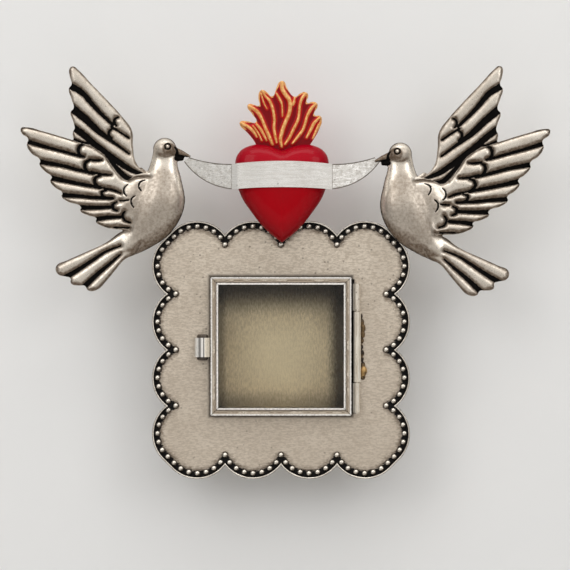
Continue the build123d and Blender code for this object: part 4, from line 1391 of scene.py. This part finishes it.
def makeSolderLumps():
    lumps = []
    for x, z, radius in solder["lumps"]:
        clearSelection()
        bpy.ops.mesh.primitive_ico_sphere_add(
            subdivisions=3, radius=radius * mm, location=(x * mm, plateFront + solder["sink"] * mm, z * mm))
        lump = bpy.context.object
        lump.scale.z = solder["height"]
        freeze(lump)
        cutBehind(lump, plateFront)
        lumps.append(lump)
    obj = joinPieces(lumps, "hingeSolder")
    voxelMerge(obj, solder["voxel"] * mm, solder["meltTurns"])
    shadeSmooth(obj)
    return obj


# Dark flux with an amber patch
def makeSolder():
    parts = startFinish("solder", solder, Metallic=0.55)
    addPatina(parts, objectAxis(parts["tree"], "Z"), **solder["amber"])
    addMarks(parts, solder["marks"])
    return finish(parts, parts["fine"], solder["bump"])


hingeSolder = makeSolderLumps()
hingeSolder.data.materials.append(makeSolder())
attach(hingeSolder, "case")
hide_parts("hinge_solder")
print("solder made")


# Camera at the photograph's angle: straight on, a little above the middle of the box
view = {"centre": (0.0016, 0.0245), "distance": 0.9, "fieldWidth": 0.228, "sensor": 36.0, "nearest": 0.01}


def makeCamera():
    bpy.ops.object.camera_add(
        location=(view["centre"][0], rimFront - view["distance"], view["centre"][1]),
        rotation=(math.pi / 2, 0, 0))
    camera = bpy.context.object
    camera.data.sensor_width = view["sensor"]
    camera.data.lens = view["sensor"] * view["distance"] / view["fieldWidth"]
    camera.data.clip_start = view["nearest"]
    bpy.context.scene.camera = camera


# Studio: two soft boxes in front, one above, and a pale room that is darker below and at its sides
studio = {
    "lamps": [
        {"at": (-0.60, -0.75, 0.50), "size": (0.5, 0.7), "power": 2.2},
        {"at": (0.62, -0.70, 0.35), "size": (0.4, 0.6), "power": 1.4},
        {"at": (0.0, -0.35, 0.85), "size": (0.8, 0.35), "power": 1.8},
    ],
    "aim": (0.0, -0.02, 0.03),
    "room": (1.0, 0.985, 0.965),
    "heightRange": (-0.7, 0.9, 0.1, 1.15),
    "sideRange": (0.35, 0.95, 1.0, 0.5),
    "planeSize": 4.0,
    "floorAt": (0, -0.6, -0.7),
    "backdropAt": (0, 0.0006, 1.3),
    "mottling": (8.0, 0.5, 0.3),
    "paint": ((0.79, 0.785, 0.775), (0.76, 0.76, 0.755)),
    "paintRough": 0.9,
}


def makeStudio():
    for lamp in studio["lamps"]:
        bpy.ops.object.light_add(type="AREA", location=lamp["at"])
        light = bpy.context.object
        light.data.shape = "RECTANGLE"
        light.data.size, light.data.size_y = lamp["size"]
        light.data.energy = lamp["power"]
        aim = Vector(studio["aim"]) - Vector(lamp["at"])
        light.rotation_euler = aim.to_track_quat("-Z", "Y").to_euler()
    world = bpy.data.worlds.new("room")
    bpy.context.scene.world = world
    world.use_nodes = True
    tree = world.node_tree
    background = tree.nodes["Background"]
    feed(tree, studio["room"], background.inputs["Color"])
    direction = splitAxes(tree, addNode(tree, "ShaderNodeTexCoord").outputs["Generated"])
    height = rangeNode(tree, direction["Z"], *studio["heightRange"])
    shade = rangeNode(tree, unsigned(tree, direction["X"]), *studio["sideRange"])
    link(tree, times(tree, height, shade), background.inputs["Strength"])


# The backdrop is clear from behind, so that the back of the piece can be seen
def makeStage():
    for name, location, rotation in (
        ("floor", studio["floorAt"], (0, 0, 0)), ("backdrop", studio["backdropAt"], (math.pi / 2, 0, 0)),
    ):
        clearSelection()
        bpy.ops.mesh.primitive_plane_add(size=studio["planeSize"], location=location, rotation=rotation)
        plane = bpy.context.object
        plane.name = name
        material, tree, shader = newMaterial(name + "Paint", Roughness=studio["paintRough"])
        paint = mixColours(tree, useGroup(tree, "stains", *studio["mottling"])[0], *studio["paint"])
        link(tree, paint, shader.inputs["Base Color"])
        if name == "backdrop":
            mix = addNode(tree, "ShaderNodeMixShader")
            link(tree, addNode(tree, "ShaderNodeNewGeometry").outputs["Backfacing"], mix.inputs[0])
            link(tree, shader.outputs[0], mix.inputs[1])
            link(tree, addNode(tree, "ShaderNodeBsdfTransparent").outputs[0], mix.inputs[2])
            link(tree, mix.outputs[0], tree.nodes["Material Output"].inputs["Surface"])
        plane.data.materials.append(material)


makeCamera()
makeStudio()
makeStage()
bpy.context.scene.view_settings.view_transform = "Standard"
print("studio made")
